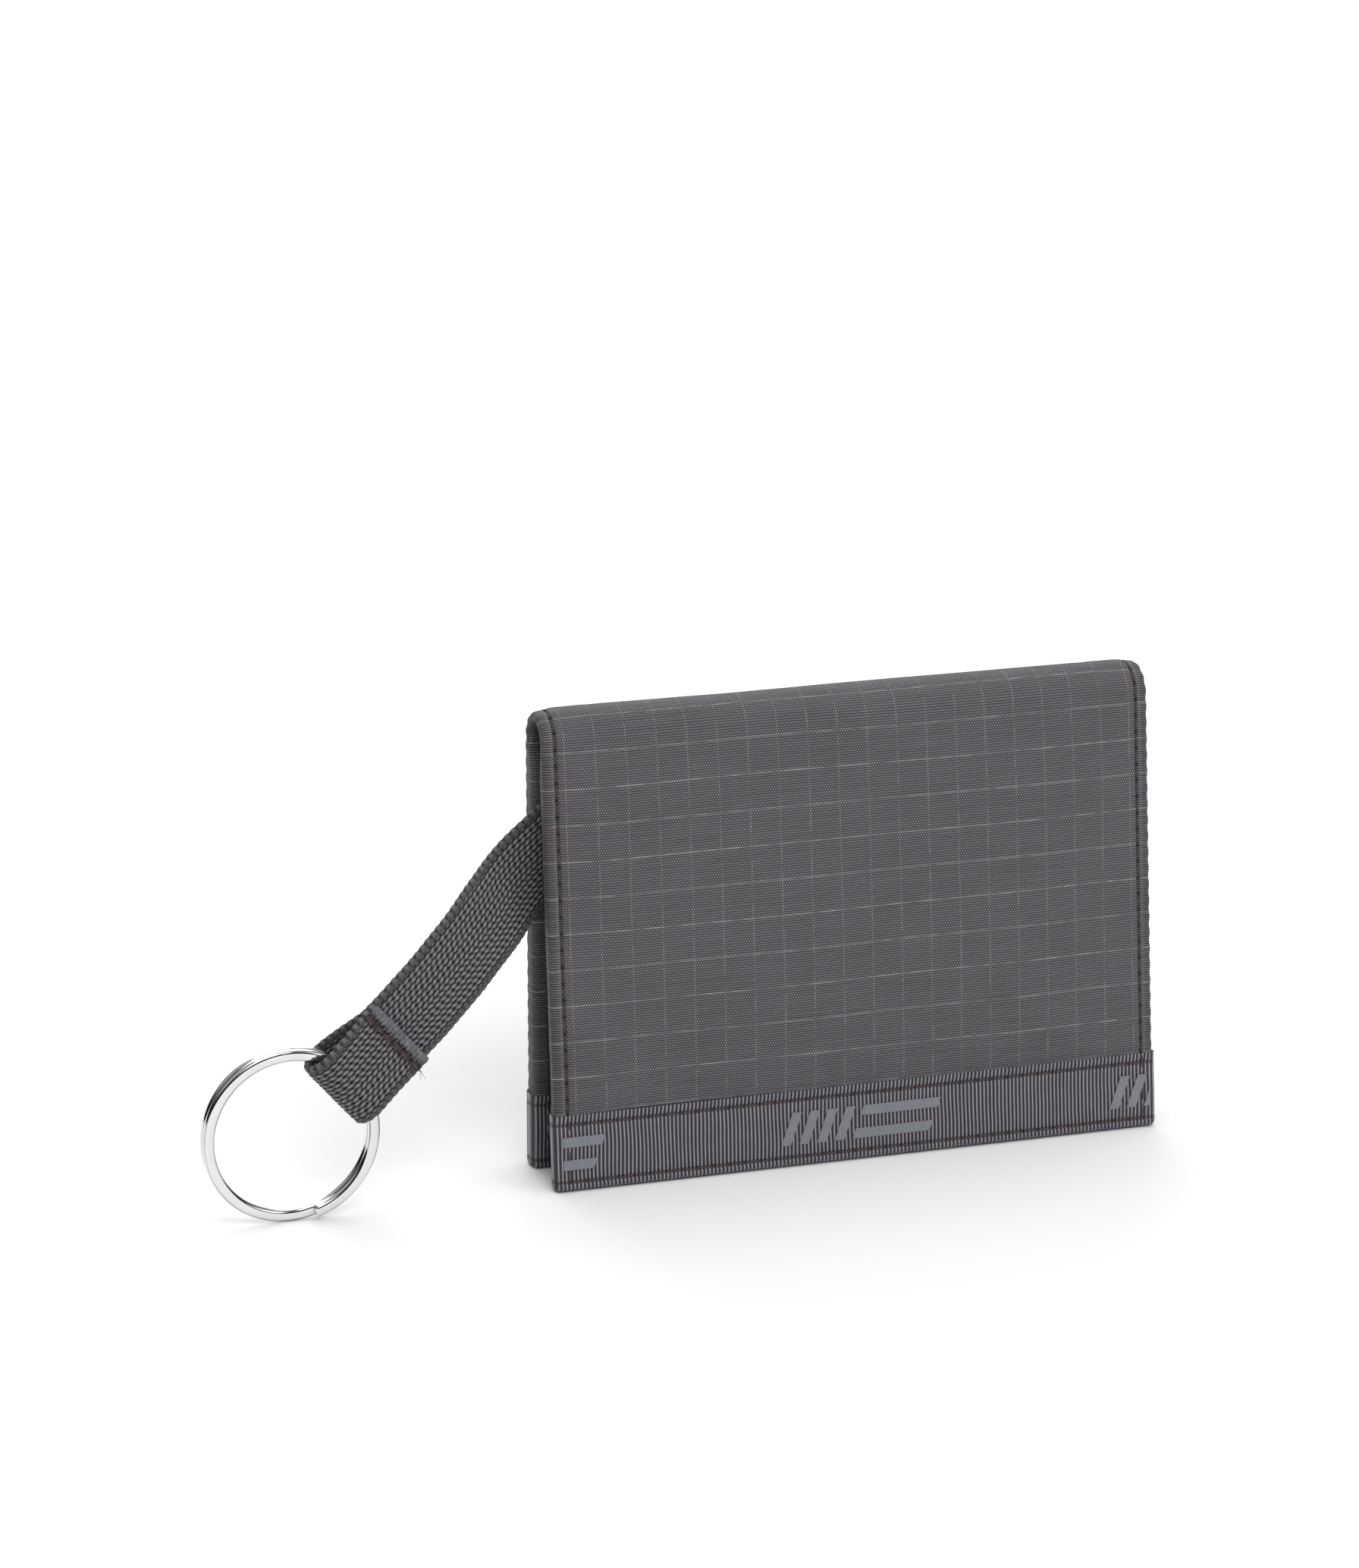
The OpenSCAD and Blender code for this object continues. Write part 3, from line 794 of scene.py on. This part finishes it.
FOOT_SEAM = 3.2 * MM
arc_rows = spaced(MID_Z - 4 * MM, V_MIDDLE, 0.8 * MM)
lining_rows = spaced(FOOT_SEAM, MID_Z - 4 * MM, 2.4 * MM) + arc_rows + [V_MIDDLE]
lining_back_cloth = inner_sheet("lining_back_cloth", lining_cloth, sheet_columns(INSIDE_HALF),
                                lining_rows, lining_depth, LINING_T, 0.02 * MM)
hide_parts("lining_back", "lining_spine")
bend_with_back(lining_back_cloth)
lining_rows = [V_MIDDLE] + [2 * V_MIDDLE - v for v in arc_rows[:0:-1]] \
    + spaced(2 * V_MIDDLE - arc_rows[0], V_END - FOOT_SEAM, 2.4 * MM) + [V_END - FOOT_SEAM]
lining_front_cloth = inner_sheet("lining_front_cloth", lining_cloth, sheet_columns(INSIDE_HALF),
                                 lining_rows, lining_depth, LINING_T, 0.02 * MM)
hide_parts("lining_front")
bend_with_front(lining_front_cloth)


# ---- Interlining ----
# A soft dark non-woven sheet lies between the outer cloth and the lining of each half, and
# gives the wallet its body. It stops short of the fold and is shut in on all sides.
felt, tree, shader = finish_called("felt_interlining", roughness=0.95, specular=0.1, sheen=0.2)
fibres = wire(tree, "TexNoise", object_place(tree), None, 1400.0, 4.0, 0.7)
colour_with(tree, shader, fibres, grey(66, 64, 68), grey(104, 102, 106))
raise_surface(tree, shader, fibres, 0.1 * MM, 0.6)
INTERLINING_TOP = MID_Z - 4.5 * MM
for half, to_v, depth, thickness in (("back", lambda h: h, 1.04 * MM, 0.6 * MM),
                                     ("front", lambda h: V_END - h, 0.90 * MM, 0.45 * MM)):
    rows = sorted(to_v(h) for h in spaced(FOOT_SEAM, INTERLINING_TOP, 3 * MM) + [INTERLINING_TOP])
    xs = sheet_columns(INSIDE_HALF, 3 * MM)
    felt_sheet = inner_sheet("interlining_" + half + "_felt", felt, xs, rows,
                             lambda v: depth, thickness, 0.02 * MM)
    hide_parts("interlining_" + half)
    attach(felt_sheet, half)


# ---- Pockets ----
# Two sheets of the ripstop, sewn to the back half along three sides, make a note pocket and a
# slip pocket with their mouths at the fold. Each mouth is bound with a narrow folded tape.
pocket_cloth = ripstop("pocket_ripstop", grey(14, 12, 14), grey(104, 101, 106), grey(140, 137, 140), 0.8)
binding, tree, shader = finish_called("mouth_binding", roughness=0.5, specular=0.4, sheen=0.15)
across, along = cloth_axes(tree)
ribs = calc(tree, "SINE", calc(tree, "MULTIPLY", across, 2 * math.pi / 0.62))
ribs = calc(tree, "MULTIPLY_ADD", ribs, 0.5, 0.5)
# painted shade: the binding is darker between its ribs and lighter on their crowns
colour_with(tree, shader, ribs, grey(42, 38, 47), grey(112, 107, 114))
raise_surface(tree, shader, ribs, 0.12 * MM, 0.8)
SHEET_T = 0.35 * MM
NOTE_DEPTH = 2.7 * MM
SLIP_DEPTH = BACK_STACK
note_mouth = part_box("note_pocket")[1].z
slip_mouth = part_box("slip_pocket")[1].z
TRIM_H = 3.4 * MM


def bound_mouth(name, half, mouth, depth, to_v):
    """The tape folded over a pocket's mouth: up the front of the sheet, over and down behind."""
    bind_t = 0.22 * MM
    section = [(depth + bind_t, mouth - TRIM_H + TRIM_H * i / 4) for i in range(5)]
    section += [(depth + bind_t - (SHEET_T + 2 * bind_t) * i / 4,
                 mouth + 0.12 * MM * math.sin(math.pi * i / 4)) for i in range(1, 4)]
    section += [(depth - SHEET_T - bind_t, mouth - TRIM_H * i / 4) for i in range(4)]
    xs = sheet_columns(INSIDE_HALF - 0.8 * MM, 0.7 * MM)

    def place(column, row):
        x, (deep, v) = xs[column], section[row]
        edge = 0.05 * MM * noise.noise(Vector((x * 200, row * 0.4, 4.0)))
        return at(x, to_v(v + edge), deep + wavy(x, v, 0.05 * MM)), (x / MM, row * 0.8), 0.0

    work = grid_mesh(name, len(xs), len(section), place, flip=(half == "front"))
    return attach(settle(thicken(object_from(work, name, binding), 0.16 * MM)), half)


for name, node, depth, mouth in (
    ("note_pocket_cloth", "note_pocket", NOTE_DEPTH, note_mouth),
    ("slip_pocket_cloth", "slip_pocket", SLIP_DEPTH, slip_mouth),
):
    rows = spaced(FOOT_SEAM, mouth - 0.2 * MM, 2.2 * MM) + [mouth - 0.2 * MM]
    pocket = inner_sheet(name, pocket_cloth, sheet_columns(INSIDE_HALF), rows,
                         lambda v: depth, SHEET_T, 0.05 * MM)
    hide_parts(node)
    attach(pocket, "back")
    trim = bound_mouth(node + "_binding", "back", mouth, depth, lambda v: v)
    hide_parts(node + "_trim")


# ---- Window pocket ----
# The front half has a sheet with a clear vinyl window behind a cut-out, for a card that is
# shown. Its mouth is at the fold too.
PANEL_DEPTH = FRONT_STACK
front_mouth = 69.6 * MM
WINDOW_HALF = 37 * MM
WINDOW_LOW = TAPE_H + 5 * MM
WINDOW_HIGH = WINDOW_LOW + 46 * MM
FILM_LAP = 3 * MM
xs = spaced(-INSIDE_HALF, -WINDOW_HALF, 2 * MM) + spaced(-WINDOW_HALF, WINDOW_HALF, 2 * MM) \
    + spaced(WINDOW_HALF, INSIDE_HALF, 2 * MM) + [INSIDE_HALF]
heights = spaced(FOOT_SEAM, WINDOW_LOW, 2 * MM) + spaced(WINDOW_LOW, WINDOW_HIGH, 2 * MM) \
    + spaced(WINDOW_HIGH, front_mouth - 0.2 * MM, 2 * MM) + [front_mouth - 0.2 * MM]
rows = [V_END - h for h in heights[::-1]]
panel = inner_sheet(
    "window_panel_cloth", pocket_cloth, xs, rows, lambda v: PANEL_DEPTH, SHEET_T, 0.04 * MM,
    skip=lambda x, v: abs(x) < WINDOW_HALF and WINDOW_LOW < V_END - v < WINDOW_HIGH)
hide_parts("id_panel")
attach(panel, "front")
trim = bound_mouth("window_panel_binding", "front", front_mouth, PANEL_DEPTH, lambda v: V_END - v)
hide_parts("id_panel_trim")

vinyl, tree, shader = finish_called("clear_vinyl", roughness=0.08, metallic=1.0)
shader.inputs["Base Color"].default_value = (0.92, 0.94, 0.96, 1)
shader.inputs["Alpha"].default_value = 0.06
ripples = wire(tree, "TexNoise", object_place(tree), None, 60.0, 0.0)
raise_surface(tree, shader, ripples, 1.2 * MM, 0.5)
film_half = WINDOW_HALF + FILM_LAP
rows = [V_END - h for h in (spaced(WINDOW_LOW - FILM_LAP, WINDOW_HIGH + FILM_LAP, 2 * MM)
                            + [WINDOW_HIGH + FILM_LAP])[::-1]]
film = inner_sheet("window_film", vinyl, sheet_columns(film_half), rows,
                   lambda v: PANEL_DEPTH - 0.44 * MM, 0.15 * MM, 0.03 * MM)
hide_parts("id_window")
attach(film, "front")

frame_rows = bmesh.new()
for height in (WINDOW_LOW - 1.3 * MM, WINDOW_HIGH + 1.3 * MM):
    run = [(x, V_END - height) for x in spaced(-WINDOW_HALF - 1.3 * MM, WINDOW_HALF + 1.3 * MM, 2.6 * MM)]
    seam(frame_rows, run, lambda x, v: PANEL_DEPTH)
for side in (-1, 1):
    run = [(side * (WINDOW_HALF + 1.3 * MM), V_END - h)
           for h in spaced(WINDOW_LOW - 1.3 * MM, WINDOW_HIGH + 1.3 * MM, 2.6 * MM)]
    seam(frame_rows, run, lambda x, v: PANEL_DEPTH)
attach(thread_object(frame_rows, "window_stitches"), "front")


# ---- Key strap ----
# One piece of coarse nylon webbing, woven in a herringbone of plump leaf-shaped floats with
# looped edges. It is sewn to the slip pocket, bends out past the side edge, and its other end
# is folded back round the ring and sewn down.
flex = Vector(joints["strap_flex"]["pos_m"])
bight = Vector(joints["ring_swing"]["pos_m"])
WIDTHWAYS = -Vector(joints["ring_swing"]["axis"]).normalized()
FRONTWAYS = Vector((0, -1, 0))
DOWNWAYS = WIDTHWAYS.cross(FRONTWAYS)
STRAP_W = 14 * MM
STRAP_T = 1.35 * MM
TURN_MAX = math.radians(30)
TURN_END = math.radians(-4)
ROOT_R = 15 * MM
ROOT_LEN = 9 * MM
LOOP_LEN = 9.4 * MM
LIP_LEN = 2.5 * MM
LOOP_R = 2.6 * MM + STRAP_T / 2
sweep_angle = TURN_MAX - TURN_END
SWEEP_R = (bight - flex).length / 2 / math.sin(sweep_angle / 2)
SWEEP_LEN = SWEEP_R * sweep_angle


def sweep_at(length):
    """On the strap's long bend, length past the bending line: the point and its heading."""
    heading = TURN_MAX - length / SWEEP_R
    return Vector((SWEEP_R * (math.sin(TURN_MAX) - math.sin(heading)),
                   SWEEP_R * (math.cos(heading) - math.cos(TURN_MAX)))), heading


def beside(point, heading, distance):
    return point + distance * Vector((-math.sin(heading), math.cos(heading)))


def strap_route():
    """The middle of the webbing from its sewn root to its folded lip, as (down, front) points."""
    turn_start = Vector((-ROOT_R * math.sin(TURN_MAX), -ROOT_R * (1 - math.cos(TURN_MAX))))
    route = [turn_start + Vector((-ROOT_LEN * (1 - i / 12), 0)) for i in range(12)]
    for i in range(16):
        a = TURN_MAX * i / 16
        route.append(turn_start + ROOT_R * Vector((math.sin(a), 1 - math.cos(a))))
    stitches = SWEEP_LEN - LOOP_LEN
    route += [sweep_at(stitches * i / 60)[0] for i in range(61)]
    parted, heading = sweep_at(stitches)
    folded = beside(parted, heading, STRAP_T)
    centre = sweep_at(SWEEP_LEN)[0]
    touch = []
    for point, side in ((parted, 1), (folded, -1)):
        away = point - centre
        touch.append(math.atan2(away.y, away.x) % (2 * math.pi) + side * math.acos(LOOP_R / away.length))
    low, high = touch[0], touch[1] + 2 * math.pi
    for i in range(41):
        a = low + (high - low) * i / 40
        route.append(centre + LOOP_R * Vector((math.cos(a), math.sin(a))))
    route.append(folded)
    for i in range(1, 7):
        point, heading = sweep_at(stitches - LIP_LEN * i / 6)
        route.append(beside(point, heading, STRAP_T))
    return route


def evenly(route, step):
    """Points evenly spaced along a route, each with its direction and its distance from the start."""
    lengths = [0.0]
    for a, b in zip(route, route[1:]):
        lengths.append(lengths[-1] + (b - a).length)
    count = round(lengths[-1] / step)
    out, k = [], 0
    for i in range(count + 1):
        here = lengths[-1] * i / count
        while k < len(route) - 2 and lengths[k + 1] < here:
            k += 1
        t = (here - lengths[k]) / (lengths[k + 1] - lengths[k])
        out.append((route[k].lerp(route[k + 1], t), here))
    placed = []
    for i, (point, here) in enumerate(out):
        ahead = out[min(i + 6, len(out) - 1)][0] - out[max(i - 6, 0)][0]
        placed.append((point, ahead.normalized(), here))
    return placed


COLUMN_W = 0.78 * MM
FLOAT_STEP = 1.35 * MM
FLOAT_L = 1.75 * MM
FLOAT_W = 0.80 * MM
FLOAT_H = 0.36 * MM
FLOAT_TILT = math.radians(-11)


def weave_height(w, length):
    """How high the webbing's floats stand, 0 to 1, at w across and length along. Each float is a
    plump leaf, tilted one way in one half of the width and the other way in the other half."""
    w += 0.10 * MM * noise.noise(Vector((w * 160, length * 150, 1.0)))
    column = math.floor(w / COLUMN_W)
    highest = 0.0
    for i in (column - 1, column, column + 1):
        tilt = FLOAT_TILT if i * COLUMN_W < 0.2 * MM else -FLOAT_TILT
        start = (0.5 * (i % 2) + 0.16 * math.sin(i * 2.4)) * FLOAT_STEP
        nearest = math.floor((length - start) / FLOAT_STEP + 0.5)
        across = w - (i + 0.5) * COLUMN_W
        for j in (nearest - 1, nearest, nearest + 1):
            along = length - start - j * FLOAT_STEP
            u = across * math.cos(tilt) + along * math.sin(tilt)
            t = (along * math.cos(tilt) - across * math.sin(tilt)) / (FLOAT_L / 2)
            if abs(t) < 1:
                plump = FLOAT_W / 2 * (1 - t * t) ** 0.75
                inside = 1 - (u / plump) ** 2
                if inside > 0:
                    highest = max(highest, math.sqrt(inside) * (1 - 0.45 * t * t))
    return highest


def selvedge_height(w, length, beat):
    """The webbing's edges are bound by larger loops of weft."""
    t = (length / beat) % 1 * 2 - 1
    inside = 1 - 0.55 * t ** 4 - ((w - 0.15 * MM) / (0.80 * MM)) ** 2
    return 0.72 * math.sqrt(inside) if inside > 0 else 0.0


FACE_STEPS = 84
EDGE_STEPS = 6
ring_of = 2 * (FACE_STEPS + EDGE_STEPS)
stations = evenly(strap_route(), 0.165 * MM)
strap_total = stations[-1][2]
SEWN_AT = (ROOT_LEN + ROOT_R * TURN_MAX + SWEEP_LEN - LOOP_LEN, strap_total - LIP_LEN)


def webbing_point(column, row):
    point, heading, here = stations[row]
    column = column % ring_of
    loop_beat = abs(math.sin(math.pi * here / (1.45 * MM)))
    half = STRAP_W / 2 - 0.2 * MM + 0.16 * MM * loop_beat
    half += 0.25 * MM * noise.noise(Vector((here * 120, 0.0, 7.0)))
    thick = STRAP_T / 2
    ends = min(1.0, min(here, strap_total - here) / (0.5 * MM))
    if column < FACE_STEPS:
        w, face, edge = 2 * column / FACE_STEPS - 1, 1, 0.0
    elif column < FACE_STEPS + EDGE_STEPS:
        w, face, edge = 1.0, 0, (column - FACE_STEPS) / EDGE_STEPS * math.pi
    elif column < 2 * FACE_STEPS + EDGE_STEPS:
        w, face, edge = 1 - 2 * (column - FACE_STEPS - EDGE_STEPS) / FACE_STEPS, -1, math.pi
    else:
        w, face, edge = -1.0, 0, math.pi + (column - 2 * FACE_STEPS - EDGE_STEPS) / EDGE_STEPS * math.pi
    body_half = half - thick * 0.6
    across = w * body_half
    from_lip = strap_total - here
    sewn_down = min(abs(here - near) for near in SEWN_AT)
    if face:
        height = weave_height(across, here + (0 if face > 0 else 0.6 * MM))
        from_edge = body_half - abs(across)
        if from_edge < 0.9 * MM:
            height = max(height * smooth(0.3 * MM, 0.9 * MM, from_edge),
                         selvedge_height(from_edge, here, 1.45 * MM if across < 0 else 1.25 * MM))
        matted = smooth(1.9 * MM, 1.2 * MM, from_lip)
        height += (0.85 + 0.15 * noise.noise(Vector((across * 900, here * 900, 2.0))) - height) * matted * 0.8
        pressed = math.exp(-(sewn_down / (0.75 * MM)) ** 2)
        rise = (thick - FLOAT_H * (1 - height) - 0.22 * MM * pressed) * face
        # painted shade: the colour is darkened where the stitches press the webbing in
        lift = height * (1 - 0.5 * pressed)
    else:
        turn = edge if w > 0 else edge - math.pi
        across += w * thick * 0.6 * math.sin(turn)
        rise = (thick - FLOAT_H * 0.5) * math.cos(edge)
        # painted shade: the looped edges are lighter on the loops' crowns and darker between them
        lift = 0.35 + 0.5 * loop_beat
    rise *= 0.55 + 0.45 * ends
    side = Vector((-heading.y, heading.x))
    place = point + side * rise
    spot = flex + DOWNWAYS * place.x + FRONTWAYS * place.y + WIDTHWAYS * across
    flat_w = across / MM if face >= 0 else 40 + across / MM
    return spot, (flat_w, here / MM), lift


webbing, tree, shader = finish_called("looped_webbing", roughness=0.68, specular=0.3, sheen=0.15)
across, along = cloth_axes(tree)
shading_height = wire(tree, "Attribute", attribute_name="lift").node.outputs["Fac"]
strands = wire(tree, "CombineXYZ", calc(tree, "MULTIPLY", across, 9.0), calc(tree, "MULTIPLY", along, 1.2))
fibre = wire(tree, "TexNoise", strands, None, 1.0, 2.0)
cloud = wire(tree, "TexNoise", wire(tree, "UVMap", uv_map="weave"), None, 0.8, 2.0)
# painted shade: the colour darkens steeply with the floats' height, near black in the gaps between them; the
# fibre and cloud noise are random tone
share = calc(tree, "MULTIPLY", calc(tree, "POWER", shading_height, 3.0),
             calc(tree, "MULTIPLY_ADD", fibre, 0.75, calc(tree, "MULTIPLY_ADD", cloud, 0.35, 0.30)))
colour_with(tree, shader, share, grey(6, 5, 7), grey(138, 136, 141))
raise_surface(tree, shader, fibre, 0.06 * MM, 0.6)

work = grid_mesh("key_strap", ring_of + 1, len(stations), webbing_point, flip=False)
bmesh.ops.remove_doubles(work, verts=work.verts, dist=1e-6)
open_edges = [edge for edge in work.edges if len(edge.link_faces) == 1]
bmesh.ops.holes_fill(work, edges=open_edges, sides=0)
bmesh.ops.recalc_face_normals(work, faces=work.faces)
key_strap = object_from(work, "key_strap_webbing", webbing)
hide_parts("key_strap", "strap_root")
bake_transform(key_strap)


# ---- Strap stitches ----
# The root is sewn down with two rows of thread, and the loop is closed by a dense row that
# passes to and fro several times. A few thread ends stand out at one side.
def strap_spot(point, w):
    return flex + DOWNWAYS * point.x + FRONTWAYS * point.y + WIDTHWAYS * w


def bar_of_thread(work, point, heading, strands, gaps):
    """A row of stitches across the webbing, sewn over several times through the same holes, so
    that the strands lie side by side and draw together at each hole."""
    along = Vector((math.cos(heading), math.sin(heading)))
    out = FRONTWAYS * math.cos(heading) - DOWNWAYS * math.sin(heading)
    length_way = DOWNWAYS * along.x + FRONTWAYS * along.y
    reach = STRAP_W / 2 - 0.3 * MM
    step = 2 * reach / gaps
    for i in range(gaps):
        w = -reach + (i + 0.5) * step
        for trip in range(strands):
            shift = (trip - (strands - 1) / 2) * 0.21 * MM
            lean = 0.10 * (trip - (strands - 1) / 2) * (-1) ** i + dice.uniform(-0.05, 0.05)
            way = (WIDTHWAYS + lean * length_way).normalized()
            spot = strap_spot(point, w) + length_way * (shift + dice.uniform(-0.04, 0.04) * MM)
            stitch(work, spot + out * dice.uniform(-0.03, 0.05) * MM, way, out, step * 1.04, 0.115 * MM)


work = bmesh.new()
turn_start = Vector((-ROOT_R * math.sin(TURN_MAX), -ROOT_R * (1 - math.cos(TURN_MAX))))
for back_by in (7.3 * MM, 4.4 * MM):
    bar_of_thread(work, turn_start + Vector((-back_by, STRAP_T / 2 - 0.1 * MM)), 0.0, 2, 6)
root_stitches = thread_object(work, "strap_root_thread")
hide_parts("strap_root_stitches")
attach(root_stitches, "back")

work = bmesh.new()
parted, heading = sweep_at(SWEEP_LEN - LOOP_LEN)
bar_of_thread(work, beside(parted, heading, 1.5 * STRAP_T - 0.20 * MM), heading, 4, 6)
bar_of_thread(work, beside(parted, heading, -0.5 * STRAP_T + 0.16 * MM), heading, 3, 6)
end = strap_spot(beside(parted, heading, 1.5 * STRAP_T - 0.1 * MM), STRAP_W / 2 - 0.4 * MM)
for k in range(7):
    place, way = end.copy(), (WIDTHWAYS + 0.9 * Vector([dice.uniform(-1, 1) for _ in range(3)])).normalized()
    curl = Vector([dice.uniform(-1, 1) for _ in range(3)])
    for _ in range(5):
        stitch(work, place + way * 0.2 * MM, way, FRONTWAYS, 0.5 * MM, 0.035 * MM)
        place += way * 0.4 * MM
        way = (way + 0.35 * curl).normalized()
loop_stitches = thread_object(work, "strap_loop_thread")
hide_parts("strap_loop_stitches")
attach(loop_stitches, "strap")


# ---- Split ring ----
# Nickel-plated spring-steel wire of flat section, wound twice round, with the crossing from one
# coil to the other between its two cut ends.
ring_low, ring_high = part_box("split_ring")
ring_centre = (ring_low + ring_high) / 2
RING_R = (ring_high.z - ring_low.z) / 2
WIRE_W = 2 * MM
COIL_T = 1.32 * MM
RING_STEPS = 240
FIRST_END = math.radians(286)
CROSSING = math.radians(92)
SIDES = 20


def ring_point(column, row):
    """column goes round the wire's section, row along its two turns."""
    travelled = (4 * math.pi - CROSSING) * row / RING_STEPS
    angle = FIRST_END + travelled
    layer = (smooth(2 * math.pi - CROSSING, 2 * math.pi, travelled) - 0.5) * (COIL_T + 0.12 * MM)
    a = 2 * math.pi * column / SIDES
    corner = 0.72
    flat_x = math.copysign(abs(math.cos(a)) ** corner, math.cos(a)) * WIRE_W / 2
    flat_y = math.copysign(abs(math.sin(a)) ** corner, math.sin(a)) * COIL_T / 2
    radius = RING_R - WIRE_W / 2 + flat_x
    spot = Vector((radius * math.cos(angle), layer + flat_y, radius * math.sin(angle)))
    return ring_centre + spot, (angle, a), 0.0


nickel, tree, shader = finish_called("polished_nickel", roughness=0.12, specular=0.5, metallic=1.0)
smudge = wire(tree, "TexNoise", object_place(tree), None, 220.0, 3.0)
colour = blend_colours(tree, smudge, (0.68, 0.68, 0.67, 1), (0.84, 0.84, 0.83, 1))
# painted reflection: the rounded edges of the flat wire are painted near black, in patches, for the dark
# surroundings they would reflect
turns, section = cloth_axes(tree)
spread = wire(tree, "CombineXYZ", calc(tree, "MULTIPLY", turns, 1.3), section)
patches = wire(tree, "TexNoise", spread, None, 1.0, 2.0)
patches = wire(tree, "MapRange", patches, 0.35, 0.6, 0.35, 0.95)
painted_dark_reflection = calc(tree, "MULTIPLY", near_line(tree, section, math.pi / 2, 0.05, 0.24), patches)
colour_with(tree, shader, painted_dark_reflection, colour, (0.09, 0.09, 0.09, 1))
haze = wire(tree, "MapRange", smudge, 0.35, 0.7, 0.05, 0.14)
tree.links.new(haze, shader.inputs["Roughness"])
work = grid_mesh("ring", SIDES + 1, RING_STEPS + 1, ring_point, flip=False)
bmesh.ops.remove_doubles(work, verts=work.verts, dist=1e-6)
open_edges = [edge for edge in work.edges if len(edge.link_faces) == 1]
bmesh.ops.holes_fill(work, edges=open_edges, sides=0)
bmesh.ops.recalc_face_normals(work, faces=work.faces)
ring = object_from(work, "split_ring_wire", nickel)
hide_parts("split_ring")
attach(ring, "ring")
